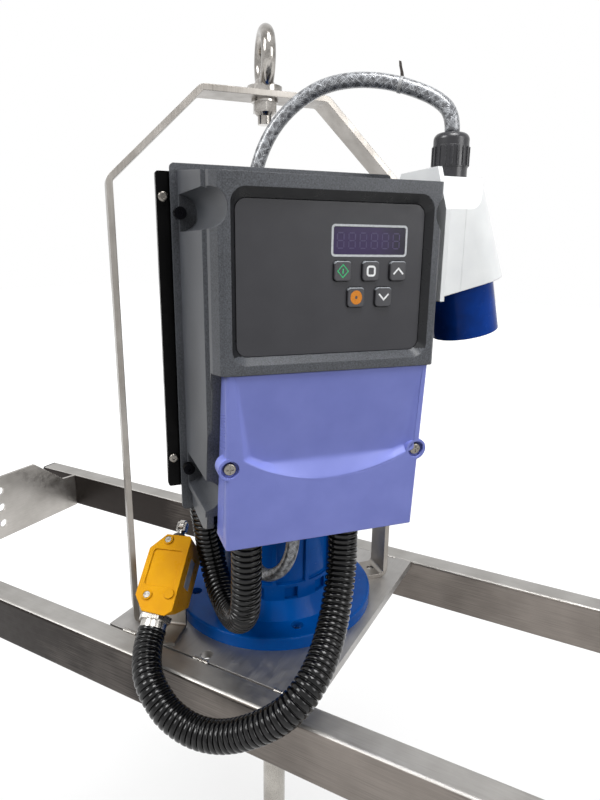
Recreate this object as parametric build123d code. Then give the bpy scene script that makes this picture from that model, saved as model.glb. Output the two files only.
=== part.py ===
"""Tank agitator on a welded bridge frame: gearmotor, shaft and impeller, lifting strap,
variable-speed drive with keypad, mains inlet and limit switch.  Millimetres, +Z up.
Origin: shaft axis at the rails' underside.  +X along the rails, +Y to the rear rail."""
from build123d import *
import os
from math import asin, cos, degrees, pi, radians, sin, sqrt, tan

# ---------------------------------------------------------------- driving dimensions
RAIL_HEIGHT, RAIL_WIDTH, RAIL_WALL = 50.0, 25.0, 2.0   # rectangular hollow section
RAIL_LENGTH = 1020.0
RAIL_GAP = 256.0             # clear gap between the two rails
END_PLATE_X = 443.0          # end plates stand this far from the shaft axis
END_PLATE_T = 4.0
END_PLATE_HEIGHT = 90.0
END_HOLE_R = 5.5
END_HOLE_PITCH = 24.0

PLATE_LENGTH = 218.0         # motor plate along the rails
PLATE_T = 8.0
FLANGE_R, FLANGE_T = 100.0, 12.5
SPIGOT_R, SPIGOT_H = 65.0, 3.5
BOLT_CIRCLE = 165.0
BOLT_R = 5.0
BOLT_HOLE_R = 5.5
BOLT_REACH = 14.5            # flange bolts end below the flange's top

DRIVE_TURN = 47.87           # degrees from the rails to the drive's width
DRIVE_SHIFT = -16.0          # drive centre along its own width, from the shaft axis

STRAP_WIDTH, STRAP_T = 30.0, 5.0
STRAP_SHIFT = -10.0
STRAP_HALF_SPAN = 135.9
STRAP_TOP_LEFT, STRAP_TOP_RIGHT = 59.5, 55.5   # upper bends, from the strap's centre
STRAP_BEND_H = 405.5
STRAP_TOP_H = 481.5
STRAP_FOOT = 24.5
STRAP_HOLE_IN = 13.0         # foot hole, in from the leg's outer face

MODULE = 1.0                 # both gear stages
PINION_TEETH, WHEEL_TEETH = 15, 45
RUN_CLEAR = 0.05             # radial clearance of a running fit
SEAT_CLEAR = 0.02            # radial clearance of a seated ring

OUT_SHAFT_R = 12.5
MIX_SHAFT_R = 12.5
IMPELLER_R = 70.0
IMPELLER_Z = -610.0

CONDUIT_R = 12.5
CABLE_R = 5.5

# ---------------------------------------------------------------- derived values
RAIL_TOP = RAIL_HEIGHT
CENTRES = MODULE * (PINION_TEETH + WHEEL_TEETH) / 2
DRIVE = Plane(origin=(0, 0, RAIL_TOP),
              x_dir=(cos(radians(DRIVE_TURN)), sin(radians(DRIVE_TURN)), 0),
              z_dir=(sin(radians(DRIVE_TURN)), -cos(radians(DRIVE_TURN)), 0))
NODES = {}


def node(name, shape):
    """Keep one named piece; a list of solids becomes one group."""
    if isinstance(shape, (list, tuple)):
        shape = Compound(children=[s for s in shape])
    NODES[name] = shape
    return shape


def block(x0, x1, y0, y1, z0, z1):
    """Box between two corners."""
    centre = ((x0 + x1) / 2, (y0 + y1) / 2, (z0 + z1) / 2)
    return Pos(*centre) * Box(abs(x1 - x0), abs(y1 - y0), abs(z1 - z0))


def rod(r, z0, z1, x=0.0, y=0.0):
    """Upright cylinder from z0 to z1."""
    return Pos(x, y, (z0 + z1) / 2) * Cylinder(r, abs(z1 - z0))


def ring(r_in, r_out, z0, z1, x=0.0, y=0.0):
    """Upright ring from z0 to z1."""
    return rod(r_out, z0, z1, x, y) - rod(r_in, z0 - 1, z1 + 1, x, y)


def rod_along(start, end, r):
    """Cylinder between two points."""
    a, b = Vector(*start), Vector(*end)
    return Plane(origin=a, z_dir=(b - a)) * Pos(0, 0, (b - a).length / 2) * Cylinder(r, (b - a).length)


def in_drive(shape):
    """Place a shape given as (across, up, outward) of the drive in the part's frame."""
    return DRIVE * shape


def drive_point(across, outward, up):
    """A point of the drive's frame in the part's frame."""
    return DRIVE.from_local_coords(Vector(across, up, outward))


def fuse(shapes):
    """Union of several shapes."""
    total = shapes[0]
    for other in shapes[1:]:
        total = total + other
    return total


# ---------------------------------------------------------------- bridge frame
def rail(side):
    """One rail: hollow section with rolled corners, side is -1 front or +1 rear."""
    y = side * (RAIL_GAP / 2 + RAIL_WIDTH / 2)
    outer = RectangleRounded(RAIL_WIDTH, RAIL_HEIGHT, 3.5)
    inner = RectangleRounded(RAIL_WIDTH - 2 * RAIL_WALL, RAIL_HEIGHT - 2 * RAIL_WALL, 1.5)
    profile = Plane.YZ * Pos(y, RAIL_HEIGHT / 2) * (outer - inner)
    return extrude(profile, amount=RAIL_LENGTH / 2, both=True)


def rail_caps():
    """Four push-in plastic caps that close the rails' ends."""
    caps = []
    plug_w, plug_h = RAIL_WIDTH - 2 * RAIL_WALL - 0.2, RAIL_HEIGHT - 2 * RAIL_WALL - 0.2
    for side in (-1, 1):
        y = side * (RAIL_GAP / 2 + RAIL_WIDTH / 2)
        for end in (-1, 1):
            face = Plane.YZ * Pos(y, RAIL_HEIGHT / 2) * RectangleRounded(RAIL_WIDTH, RAIL_HEIGHT, 3.5)
            plug = Plane.YZ * Pos(y, RAIL_HEIGHT / 2) * RectangleRounded(plug_w, plug_h, 1.4)
            head = Pos(end * RAIL_LENGTH / 2, 0, 0) * extrude(face, amount=end * 3.0)
            stem = Pos(end * RAIL_LENGTH / 2, 0, 0) * extrude(plug, amount=-end * 12.0)
            caps.append(head + stem)
    return caps


def end_plate(end):
    """Upright plate across the rails with three bolt holes one above the other."""
    half, low = RAIL_GAP / 2, RAIL_TOP
    outline = Polyline((-half, 0), (half, 0), (half, low - 1), (half - 22, low + 1),
                       (half - 70, END_PLATE_HEIGHT), (-half + 70, END_PLATE_HEIGHT),
                       (-half + 22, low + 1), (-half, low - 1), close=True)
    plate = extrude(Plane.YZ * make_face(outline), amount=END_PLATE_T / 2, both=True)
    for i in (-1, 0, 1):
        hole = Rot(0, 90, 0) * Cylinder(END_HOLE_R, END_PLATE_T * 3)
        plate -= Pos(0, 0, END_PLATE_HEIGHT / 2 + i * END_HOLE_PITCH) * hole
    return Pos(end * END_PLATE_X, 0, 0) * plate


SPARE_HOLES = [(0.0, -120.0), (0.0, 120.0)]
SPARE_HOLE_R = 5.75
STRAP_BOLT_HOLE_R = 4.5
STRAP_HOLES = [drive_point(STRAP_SHIFT + s * (STRAP_HALF_SPAN - STRAP_HOLE_IN), 0, 0) for s in (-1, 1)]
BOLT_ANGLES = (-45.0, 45.0, 135.0, 225.0)


def bolt_spots():
    """Centres of the four flange bolts."""
    r = BOLT_CIRCLE / 2
    return [(r * cos(radians(a)), r * sin(radians(a))) for a in BOLT_ANGLES]


def motor_plate():
    """Plate welded flush between the rails that carries the gearmotor and the strap."""
    half_l, half_w = PLATE_LENGTH / 2, RAIL_GAP / 2
    plate = block(-half_l, half_l, -half_w, half_w, RAIL_TOP - PLATE_T, RAIL_TOP)
    plate -= rod(SPIGOT_R + 0.1, 0, 100)
    for x, y in bolt_spots():
        plate -= rod(BOLT_HOLE_R, 0, 100, x, y)
    for x, y in SPARE_HOLES:
        plate -= rod(SPARE_HOLE_R, 0, 100, x, y)
    for p in STRAP_HOLES:
        plate -= rod(STRAP_BOLT_HOLE_R, 0, 100, p.X, p.Y)
    return plate


def hex_bolt(r, length, head_w, head_h, x, y, z_head):
    """Hex-head bolt that points up, its head's top face at z_head."""
    head = Pos(x, y, z_head - head_h) * extrude(RegularPolygon(head_w / 2, 6, major_radius=False), amount=head_h)
    return head + rod(r, z_head - 0.5, z_head + length, x, y)


# ---------------------------------------------------------------- gearmotor
CHAMBER_FLOOR, CHAMBER_TOP, CHAMBER_R = 94.0, 122.0, 55.0
GEARBOX_R = 60.0
FOOT_R, FOOT_TOP = 63.0, 93.5               # pocketed ring above the flange
SHIELD_TOP = 140.0
STATOR_TOP = 280.0
UPPER_SHIELD_TOP = 298.0
MOTOR_R_IN, MOTOR_R, RIB_R = 55.0, 60.0, 64.0
SHAFT_BEARING = (54.0, 66.0, 23.5)          # lower output bearing: z0, z1, outer radius
UPPER_OUT_BEARING = (84.0, 93.0, 18.5)
LAY_BEARING_LOW = (88.0, 94.0, 9.5)
LAY_BEARING_TOP = (126.0, 132.0, 9.5)
ROTOR_BEARING_LOW = (126.0, 137.0, 17.5)
ROTOR_BEARING_TOP = (284.0, 295.0, 17.5)
OUT_NECK_R, LAY_R, LAY_JOURNAL_R, ROTOR_SHAFT_R = 10.0, 5.0, 3.0, 7.5
LAY_X = CENTRES                              # the layshaft stands beside the shaft axis


def gearbox_housing():
    """Cast flange, pocketed foot ring and gear chamber in one piece."""
    body = rod(FLANGE_R, RAIL_TOP, RAIL_TOP + FLANGE_T)
    body = fillet(body.edges().group_by(Axis.Z)[-1], 2.0)
    body += rod(SPIGOT_R, RAIL_TOP - SPIGOT_H, RAIL_TOP + 1)
    body += Pos(0, 0, RAIL_TOP + FLANGE_T + 7.5 - 0.5) * Cone(75.5, FOOT_R, 15.0)
    body += rod(FOOT_R, 62, FOOT_TOP)
    body += rod(GEARBOX_R, 80, CHAMBER_TOP)
    for k in range(12):
        pocket = Pos(FOOT_R, 0, FOOT_TOP - 9.5) * Box(9.0, 13.0, 12.0)
        body -= Rot(0, 0, 15 + 30 * k) * pocket
    for k in range(12):
        rib = Pos(GEARBOX_R + 0.5, 0, (FOOT_TOP + CHAMBER_TOP) / 2 - 1) * Box(5.0, 4.0, CHAMBER_TOP - FOOT_TOP + 2)
        body += Rot(0, 0, 30 * k) * rib
    body -= rod(CHAMBER_R, CHAMBER_FLOOR, CHAMBER_TOP + 1)
    body -= rod(OUT_SHAFT_R + 1.5, 0, CHAMBER_FLOOR + 1)
    z0, z1, r = SHAFT_BEARING
    body -= rod(r + SEAT_CLEAR, 0, z1)
    z0, z1, r = UPPER_OUT_BEARING
    body -= rod(r + SEAT_CLEAR, z0, CHAMBER_FLOOR + 1)
    z0, z1, r = LAY_BEARING_LOW
    body -= rod(r + SEAT_CLEAR, z0, z1 + 1, LAY_X, 0)
    for x, y in bolt_spots():
        body -= rod(BOLT_R, RAIL_TOP - 1, RAIL_TOP + FLANGE_T + 1, x, y)
        body -= rod(BOLT_R + 0.9, RAIL_TOP - PLATE_T + BOLT_REACH + 0.5, RAIL_TOP + FLANGE_T + 12, x, y)
    return body


def lower_shield():
    """End shield between the gear chamber and the motor."""
    body = rod(GEARBOX_R, CHAMBER_TOP, SHIELD_TOP)
    for k in range(12):
        rib = Pos(GEARBOX_R + 0.5, 0, (CHAMBER_TOP + SHIELD_TOP) / 2) * Box(5.0, 4.0, SHIELD_TOP - CHAMBER_TOP)
        body += Rot(0, 0, 30 * k) * rib
    body -= rod(ROTOR_SHAFT_R + 1.0, 0, 200)
    z0, z1, r = ROTOR_BEARING_LOW
    body -= rod(r + SEAT_CLEAR, z0, z1)
    body -= rod(r + SEAT_CLEAR, z0, SHIELD_TOP + 1)
    z0, z1, r = LAY_BEARING_TOP
    body -= rod(r + SEAT_CLEAR, CHAMBER_TOP - 1, z1, LAY_X, 0)
    return body


PAD_HALF, PAD_FACE = 24.0, 62.0
PAD_HEIGHTS = (150.0, 215.0)                 # bracket screws, up from the rail top


def motor_housing():
    """Ribbed motor frame with a flat pad at its front for the drive's bracket."""
    body = rod(MOTOR_R, SHIELD_TOP, STATOR_TOP)
    for k in range(21):
        rib = Pos(RIB_R - 3, 0, (SHIELD_TOP + STATOR_TOP) / 2) * Box(6.0, 3.0, STATOR_TOP - SHIELD_TOP - 12)
        body += Rot(0, 0, DRIVE_TURN - 90 + 30 + 15 * k) * rib
    pad = block(-PAD_HALF, PAD_HALF, SHIELD_TOP - RAIL_TOP + 2, STATOR_TOP - RAIL_TOP - 2, 40, PAD_FACE)
    body += in_drive(pad)
    body -= rod(MOTOR_R_IN, SHIELD_TOP - 1, STATOR_TOP + 1)
    for up in PAD_HEIGHTS:
        for across in (-14, 14):
            body -= in_drive(Pos(across, up, PAD_FACE) * Cylinder(2.5, 12))
    return body


def upper_shield():
    """End shield at the fan end, with the rotor's upper bearing seat."""
    body = rod(MOTOR_R, STATOR_TOP, UPPER_SHIELD_TOP)
    body -= rod(ROTOR_SHAFT_R + 1.0, 0, 400)
    z0, z1, r = ROTOR_BEARING_TOP
    body -= rod(r + SEAT_CLEAR, STATOR_TOP - 1, z1)
    return body


COWL_TOP = 352.0
COWL_R = 61.5


def fan_cowl():
    """Pressed steel cowl over the fan, with slots in its top."""
    outer = rod(COWL_R, UPPER_SHIELD_TOP - 16, COWL_TOP)
    outer = fillet(outer.edges().group_by(Axis.Z)[-1], 8.0)
    body = outer - rod(COWL_R - 1.5, UPPER_SHIELD_TOP - 17, COWL_TOP - 9) - rod(COWL_R - 9, 300, COWL_TOP - 1.5)
    for r_in, count in ((14.0, 8), (30.0, 12)):
        for k in range(count):
            slot = Pos(r_in + 6.5, 0, COWL_TOP - 1) * Box(13.0, 5.0, 8.0)
            body -= Rot(0, 0, 360 / count * k) * slot
    return body


def cooling_fan():
    """Radial fan on the rotor's upper end."""
    body = rod(14.0, 306, 326) + rod(50.0, 306, 309)
    for k in range(8):
        blade = Pos(30.5, 0, 316) * Box(37.0, 3.0, 18.0)
        body += Rot(0, 0, 45 * k) * blade
    return body - rod(6.0, 300, 330)


def gear(teeth, z0, z1, bore, turn, x=0.0):
    """Spur gear with involute flanks of three points, a tooth centred on turn degrees."""
    pitch_r = MODULE * teeth / 2
    base_r = pitch_r * cos(radians(20))
    root_r, tip_r = pitch_r - 1.25 * MODULE, pitch_r + 0.95 * MODULE
    backlash = 0.16 * MODULE / pitch_r

    def half_angle(r):
        """Half of the tooth's thickness at radius r, in radians."""
        def involute(q):
            a = tan_at(q)
            return tan(a) - a

        def tan_at(q):
            return 0.0 if q <= base_r else sqrt_acos(base_r / q)
        return pi / (2 * teeth) - backlash / 2 + involute(pitch_r) - involute(max(r, base_r))

    outline = []
    flank = [root_r, max(root_r + 0.1, base_r), (pitch_r + tip_r) / 2 - 0.2, tip_r]
    for k in range(teeth):
        middle = radians(turn) + 2 * pi * k / teeth
        rising = [(r, middle - half_angle(r)) for r in flank]
        falling = [(r, middle + half_angle(r)) for r in reversed(flank)]
        outline += [(r * cos(a), r * sin(a)) for r, a in rising + falling]
    face = make_face(Polyline(*outline, close=True))
    return Pos(x, 0, z0) * extrude(face, amount=z1 - z0) - rod(bore, z0 - 1, z1 + 1, x, 0)


def sqrt_acos(ratio):
    """Pressure angle at a radius, in radians, from base radius over radius."""
    return pi / 2 - asin(ratio)


WHEEL_HALF_PITCH = 180.0 / WHEEL_TEETH
PINION_HALF_PITCH = 180.0 / PINION_TEETH


def rotor():
    """Rotor core on its shaft with the motor pinion cut at the lower end."""
    body = rod(ROTOR_SHAFT_R, 126, 300) + rod(6.0, 299, 326) + rod(5.0, 108, 127)
    body += rod(30.0, 166, 254)
    teeth = gear(PINION_TEETH, 109.5, 120.5, 3.0, 0.0)
    return body + teeth


def layshaft():
    """Intermediate shaft: wheel driven by the motor pinion, pinion driving the output wheel."""
    body = rod(LAY_R, 95, 125.5, LAY_X, 0) + rod(LAY_JOURNAL_R, 89, 131, LAY_X, 0)
    low = gear(PINION_TEETH, 95.5, 107, 3.0, 180.0 + PINION_HALF_PITCH, LAY_X)
    high = gear(WHEEL_TEETH, 110, 120, 3.0, 180.0 + WHEEL_HALF_PITCH, LAY_X)
    return body + low + high


def output_wheel():
    """Wheel on the output shaft's neck."""
    return gear(WHEEL_TEETH, 96.5, 106, OUT_NECK_R, 0.0)


def output_shaft():
    """Output shaft with the neck that carries the wheel."""
    body = rod(OUT_SHAFT_R, OUT_SHAFT_END, 84) + rod(OUT_NECK_R, 83, 107.5)
    return body


OUT_SHAFT_END = -20.0
SEAL = (46.5, 53.0)


# ---------------------------------------------------------------- shaft below the plate
COUPLING = (-62.0, 20.0, 22.0)               # z0, z1, radius
MIX_TOP = OUT_SHAFT_END - 1.0
HUB = (IMPELLER_Z - 18, IMPELLER_Z + 18, 22.0)


def shaft_coupling():
    """Rigid clamp coupling: split sleeve round both shafts."""
    z0, z1, r = COUPLING
    body = ring(OUT_SHAFT_R, r, z0, z1)
    body -= block(0, r + 2, -1, 1, z0 - 1, z1 + 1)
    for z in coupling_screw_heights():
        body -= Pos(17.3, -18, z) * Rot(90, 0, 0) * Cylinder(4.4, 20)
        body -= Pos(17.3, 0, z) * Rot(90, 0, 0) * Cylinder(2.6, 60)
    return body


def coupling_screw_heights():
    """Heights of the clamp screws."""
    z0, z1, r = COUPLING
    return [z0 + 12 + k * (z1 - z0 - 24) / 3 for k in range(4)]


def coupling_screws():
    """Four socket screws across the coupling's slit."""
    screws = []
    for z in coupling_screw_heights():
        head = Pos(17.3, -10.5, z) * Rot(90, 0, 0) * Cylinder(4.2, 5)
        shank = Pos(17.3, 1, z) * Rot(90, 0, 0) * Cylinder(2.5, 20)
        screws.append(head + shank)
    return screws


def impeller():
    """Pitched-blade impeller: three blades at 45 degrees on a hub."""
    z0, z1, r = HUB
    body = rod(r, z0, z1)
    body = chamfer(body.edges().filter_by(GeomType.CIRCLE), 1.5)
    for k in range(3):
        blade = Pos((r + IMPELLER_R) / 2 - 4, 0, IMPELLER_Z) * Rot(45, 0, 0) * Box(IMPELLER_R - r + 8, 34.0, 4.0)
        body += Rot(0, 0, 120 * k) * blade
    body = body & rod(IMPELLER_R, z0 - 10, z1 + 10)
    body -= rod(MIX_SHAFT_R, z0 - 20, z1 + 20)
    return body


# ---------------------------------------------------------------- lifting strap and eye
def strap():
    """Bent flat bar over the motor, its feet turned inwards."""
    h, top, t = STRAP_HALF_SPAN, STRAP_TOP_H, STRAP_T
    mid = t / 2
    right = [(h - STRAP_FOOT, mid), (h - mid, mid), (h - mid, STRAP_BEND_H), (STRAP_TOP_RIGHT - mid, top - mid)]
    left = [(mid - STRAP_TOP_LEFT, top - mid)] + [(-x, y) for x, y in reversed(right[:3])]
    line = FilletPolyline(*(right + left), radius=[7.0, 7.0, 7.0, 7.0, 7.0, 7.0])
    wide = trace(line, line_width=t)
    bar = extrude(wide, amount=STRAP_WIDTH / 2, both=True)
    bar = Pos(STRAP_SHIFT, 0, 0) * bar
    bar -= Pos(STRAP_SHIFT, top, 0) * Rot(90, 0, 0) * Cylinder(EYE_THREAD_R + 0.5, 30)
    for s in (-1, 1):
        across = STRAP_SHIFT + s * (STRAP_HALF_SPAN - STRAP_HOLE_IN)
        bar -= Pos(across, 0, 0) * Rot(90, 0, 0) * Cylinder(4.0, 30)
    return in_drive(bar)


EYE_THREAD_R = 6.0
EYE_RING_R, EYE_BAR_R = 21.0, 6.0
EYE_TURN = -7.7
EYE_COLLAR_R = 15.0


def lifting_eye():
    """Forged eye bolt: ring, flared neck, collar and thread."""
    z = RAIL_TOP + STRAP_TOP_H
    centre_z = z + 53 - EYE_RING_R - EYE_BAR_R
    loop = Rot(0, 90, 0) * Torus(EYE_RING_R, EYE_BAR_R)
    body = Pos(0, 0, centre_z) * loop
    neck = Pos(0, 0, z + 7.5) * Cone(EYE_COLLAR_R - 4, 6.5, 11)
    body += neck - Pos(0, 0, centre_z) * Rot(0, 90, 0) * Cylinder(EYE_RING_R - EYE_BAR_R + 0.5, 40)
    body -= rod(40, z - 20, z)
    body += rod(EYE_COLLAR_R, z, z + 5)
    body += rod(EYE_THREAD_R, z - 25, z + 1)
    spot = drive_point(STRAP_SHIFT, 0, 0)
    return Pos(spot.X, spot.Y, 0) * Rot(0, 0, DRIVE_TURN + EYE_TURN) * body


def eye_nut():
    """Self-locking nut under the strap, hexagon below its domed collar."""
    z = RAIL_TOP + STRAP_TOP_H - STRAP_T
    hexagon = extrude(RegularPolygon(9.5, 6, major_radius=False), amount=-8)
    nut = Pos(0, 0, z - 2.5) * hexagon
    dome = Pos(0, 0, z - 11.75) * Cone(6.8, 9.0, 2.5)
    nut = nut + dome - rod(EYE_THREAD_R, z - 40, z + 5)
    spot = drive_point(STRAP_SHIFT, 0, 0)
    return Pos(spot.X, spot.Y, 0) * Rot(0, 0, DRIVE_TURN + 20) * nut


def eye_washer():
    """Plain washer between the nut and the strap."""
    z = RAIL_TOP + STRAP_TOP_H - STRAP_T
    spot = drive_point(STRAP_SHIFT, 0, 0)
    return ring(EYE_THREAD_R + 0.3, 11.5, z - 2.5, z, spot.X, spot.Y)


# ---------------------------------------------------------------- drive, in its own frame
# across is the width, up is from the rail top, outward is away from the shaft axis.
BRACKET_FACE = PAD_FACE + 4.0
BACK_PLATE = (98.5, 161.5, 407.0, 66.0, 72.0)     # half width, low, high, rear, front
SINK = (89.0, 143.0, 412.0, 76.0, 80.0)
CASE_HALF = 84.0
CASE_LOW, CASE_TOP_REAR, CASE_TOP_FRONT = 163.0, 407.0, 397.5
CASE_FRONT = 181.0
SKIRT_LOW = 146.5
COVER_TOP = 274.5
COVER_LOW = 148.0
COVER_FRONT_TOP, COVER_FRONT_LOW = 179.5, 170.0
COVER_HALF = 73.3
COVER_BACK_TOP, COVER_BACK_LOW = 166.0, 140.0     # joint with the case, slanted
CORNER_SCREWS = [(s * 84.0, up) for s in (-1, 1) for up in (377.0, 181.0)]
BACK_SCREWS = [(s * 93.5, up) for s in (-1, 1) for up in (389.0, 186.0)]
PANEL = (65.2, 286.0, 382.8)                 # half width, low, high
PANEL_REAR = 172.5
RIM = (69.7, 280.5, 389.8)                   # pocket's mouth in the case's front
KEY_W, KEY_H, KEY_GAP = 12.0, 13.0, 0.3
KEYS = {"start_key": (5.8, 339.7), "stop_key": (26.1, 339.7), "up_key": (46.4, 339.7),
        "reset_key": (15.9, 322.6), "down_key": (36.2, 322.6)}
DISPLAY = (25.5, 359.0, 52.0, 17.4)          # across, up, width, height
GLAND_OUT = 127.0
MOTOR_GLAND, CABLE_GLAND, SWITCH_GLAND = -63.5, -24.0, 19.0    # across, from the shaft axis


def shifted(shape):
    """Move a drive piece from the drive's centre line to its place and frame."""
    return in_drive(Pos(DRIVE_SHIFT, 0, 0) * shape)


def drive_bracket():
    """Laser-cut I-shaped plate on the motor's pad that carries the back plate."""
    web = block(-PAD_HALF, PAD_HALF, 120, 402, PAD_FACE, BRACKET_FACE)
    bars = [block(DRIVE_SHIFT - 98, DRIVE_SHIFT + 98, up - 12, up + 12, PAD_FACE, BRACKET_FACE)
            for up in (389.0, 186.0)]
    body = web + bars[0] + bars[1]
    for up in PAD_HEIGHTS:
        for across in (-14, 14):
            body -= Pos(across, up, PAD_FACE) * Cylinder(2.9, 20)
            body -= Pos(across, up, BRACKET_FACE) * Cylinder(5.2, 4)
    for v, up in BACK_SCREWS:
        body -= Pos(DRIVE_SHIFT + v, up, PAD_FACE) * Cylinder(2.0, 20)
    return in_drive(body)


def bracket_screws():
    """Countersunk screws that hold the bracket on the motor's pad."""
    screws = []
    for up in PAD_HEIGHTS:
        for across in (-14, 14):
            shank = Pos(across, up, PAD_FACE - 0.5) * Cylinder(2.4, 9)
            head = Pos(across, up, BRACKET_FACE - 1.1) * Cylinder(5.0, 1.8)
            screws.append(in_drive(shank + head))
    return screws


def back_plate():
    """Gloss black plate behind the drive."""
    half, low, high, rear, front = BACK_PLATE
    plate = block(-half, half, low, high, rear, front)
    plate = fillet(plate.edges().filter_by(Axis.Z), 2.0)
    for v, up in BACK_SCREWS:
        plate -= Pos(v, up, rear) * Cylinder(2.1, 30)
    return shifted(plate)


def back_plate_screws():
    """Button-head screws through the back plate into the bracket."""
    screws = []
    for v, up in BACK_SCREWS:
        front = BACK_PLATE[4]
        head = Pos(v, up, front + 1.2) * Cylinder(3.9, 2.4)
        head = fillet(head.edges().group_by(Axis.Z)[-1], 1.6)
        head -= Pos(v, up, front + 2.4) * Cylinder(1.5, 2.2)
        shank = Pos(v, up, front - 4.6) * Cylinder(1.95, 9.4)
        screws.append(shifted(head + shank))
    return screws


def heat_sink():
    """Rear flange of the drive with its feet and the posts for the board."""
    half, low, high, rear, front = SINK
    body = block(-half, half, low, high, rear, front)
    body = fillet(body.edges().filter_by(Axis.Z), 3.0)
    for v in (-60, -36, -12, 12, 36, 60):
        body += block(v - 3, v + 3, 170, 400, BACK_PLATE[4], rear + 1)
    for v in (-50, 50):
        for up in (190, 380):
            body += Pos(v, up, (front + BOARD_REAR) / 2) * Cylinder(4.0, BOARD_REAR - front + 1 - 1)
    for v, up in CORNER_SCREWS:
        body -= Pos(v, up, front) * Cylinder(2.0, 30)
    return shifted(body)


BOARD_REAR = 110.0


def circuit_board():
    """Control board with its capacitors, on the posts."""
    board = block(-64, 64, 182, 386, BOARD_REAR, BOARD_REAR + 1.6)
    for v, up, r, tall in ((-30, 240, 13, 34), (4, 240, 13, 34), (-30, 300, 9, 24), (40, 250, 9, 20)):
        board += Pos(v, up, BOARD_REAR + tall / 2 + 1) * Cylinder(r, tall)
    board += block(-48, 30, 190, 206, BOARD_REAR + 1, BOARD_REAR + 14)
    return shifted(board)


def case_outline():
    """Section of the casting across the drive: drafted side wall, groove, bevel, front."""
    half = CASE_HALF
    side = [(half, 80.0), (half - 2.2, 156.5), (half - 5.0, 157.5), (half - 5.0, 163.0), (half - 3.7, 164.5),
            (half - 4.2, 170.0), (half - 7.4, 178.5), (half - 10.0, CASE_FRONT)]
    other = [(-x, z) for x, z in reversed(side)]
    return Polyline(*(side + other), close=True)


def case_body():
    """Front casting of the drive, open at the rear."""
    profile = make_face(Rot(90, 0, 0) * case_outline())
    solid = extrude(profile, amount=-(CASE_TOP_REAR - CASE_LOW))
    box = solid.bounding_box()
    return Pos(0, CASE_LOW - box.min.Y, 0) * solid


def joint_out(up):
    """Outward place of the joint between case and terminal cover at a height."""
    share = (up - COVER_LOW) / (COVER_TOP - COVER_LOW)
    return COVER_BACK_LOW + (COVER_BACK_TOP - COVER_BACK_LOW) * share


def side_prism(points, half):
    """Prism across the drive of a side outline given as (outward, up)."""
    face = make_face(Polyline(*[Vector(-half, up, out) for out, up in points], close=True))
    return extrude(face, amount=2 * half, dir=(1, 0, 0))


def drive_case():
    """Casting with side skirts, screw bays, drafted panel pocket and terminal opening."""
    solid = case_body()
    solid += block(76.0, CASE_HALF, 316, 396, 91, 157)
    for s in (-1, 1):
        skirt = side_prism([(81, CASE_LOW + 5), (81, SKIRT_LOW), (126, SKIRT_LOW), (joint_out(SKIRT_LOW + 6), SKIRT_LOW + 6),
                            (joint_out(CASE_LOW + 5), CASE_LOW + 5)], 2.5)
        solid += Pos(s * (CASE_HALF - 5.5), 0, 0) * skirt
    slope = degrees(asin((CASE_TOP_REAR - CASE_TOP_FRONT) / 101.0))
    above = Pos(0, CASE_TOP_REAR, 80) * Rot(slope, 0, 0) * block(-120, 120, 0, 60, -30, 160)
    solid -= above
    solid -= side_prism([(joint_out(100), 100), (joint_out(COVER_TOP + 0.3), COVER_TOP + 0.3), (220, COVER_TOP + 0.3), (220, 100)], 120)
    inside = side_prism([(70, CASE_LOW + 4), (joint_out(CASE_LOW + 4) - 4, CASE_LOW + 4), (joint_out(COVER_TOP + 4) - 4, COVER_TOP + 4),
                         (PANEL_REAR - 4.5, COVER_TOP + 4), (PANEL_REAR - 4.5, 390), (70, 390)], 75.5)
    for v, up in CORNER_SCREWS:
        inside -= Pos(v, up, 120) * Cylinder(17.0, 200)
    solid -= inside
    for v, up in CORNER_SCREWS:
        solid += block(min(v, v * 0.86), max(v, v * 0.86), up - 11, up + 11, 80, 84)
        solid -= Pos(v, up, 84 + 60) * Cylinder(13.0, 120)
        solid -= Pos(v, up, 84) * Cylinder(2.3, 20)
    solid -= panel_pocket()
    half, low, high = PANEL
    solid -= block(-8, 60, 310, 373, 160, 180)
    for across in (MOTOR_GLAND, CABLE_GLAND, SWITCH_GLAND):
        solid -= Pos(across - DRIVE_SHIFT, CASE_LOW, GLAND_OUT) * Rot(90, 0, 0) * Cylinder(9.6, 20)
    return shifted(solid)


def panel_pocket():
    """Pocket of the keypad panel, its walls drafted to a wider mouth."""
    half, low, high = PANEL
    rim_half, rim_low, rim_high = RIM
    floor = Pos(0, (low + high) / 2, PANEL_REAR) * RectangleRounded(2 * half + 0.8, high - low + 0.8, 7.4)
    seat = extrude(floor, amount=3.1)
    start = Pos(0, (low + high) / 2, PANEL_REAR + 3) * RectangleRounded(2 * half + 0.8, high - low + 0.8, 7.4)
    mouth = Pos(0, (rim_low + rim_high) / 2, CASE_FRONT + 0.6) * RectangleRounded(2 * rim_half, rim_high - rim_low, 10)
    return seat + loft([start, mouth], ruled=True)


def case_screws():
    """Four black socket screws in the bays."""
    screws = []
    for v, up in CORNER_SCREWS:
        head = Pos(v, up, 84 + 3) * Cylinder(4.5, 6)
        head -= Pos(v, up, 84 + 5) * extrude(RegularPolygon(1.8, 6), amount=4)
        shank = Pos(v, up, 80) * Cylinder(1.95, 9)
        screws.append(shifted(head + shank))
    return screws


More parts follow.
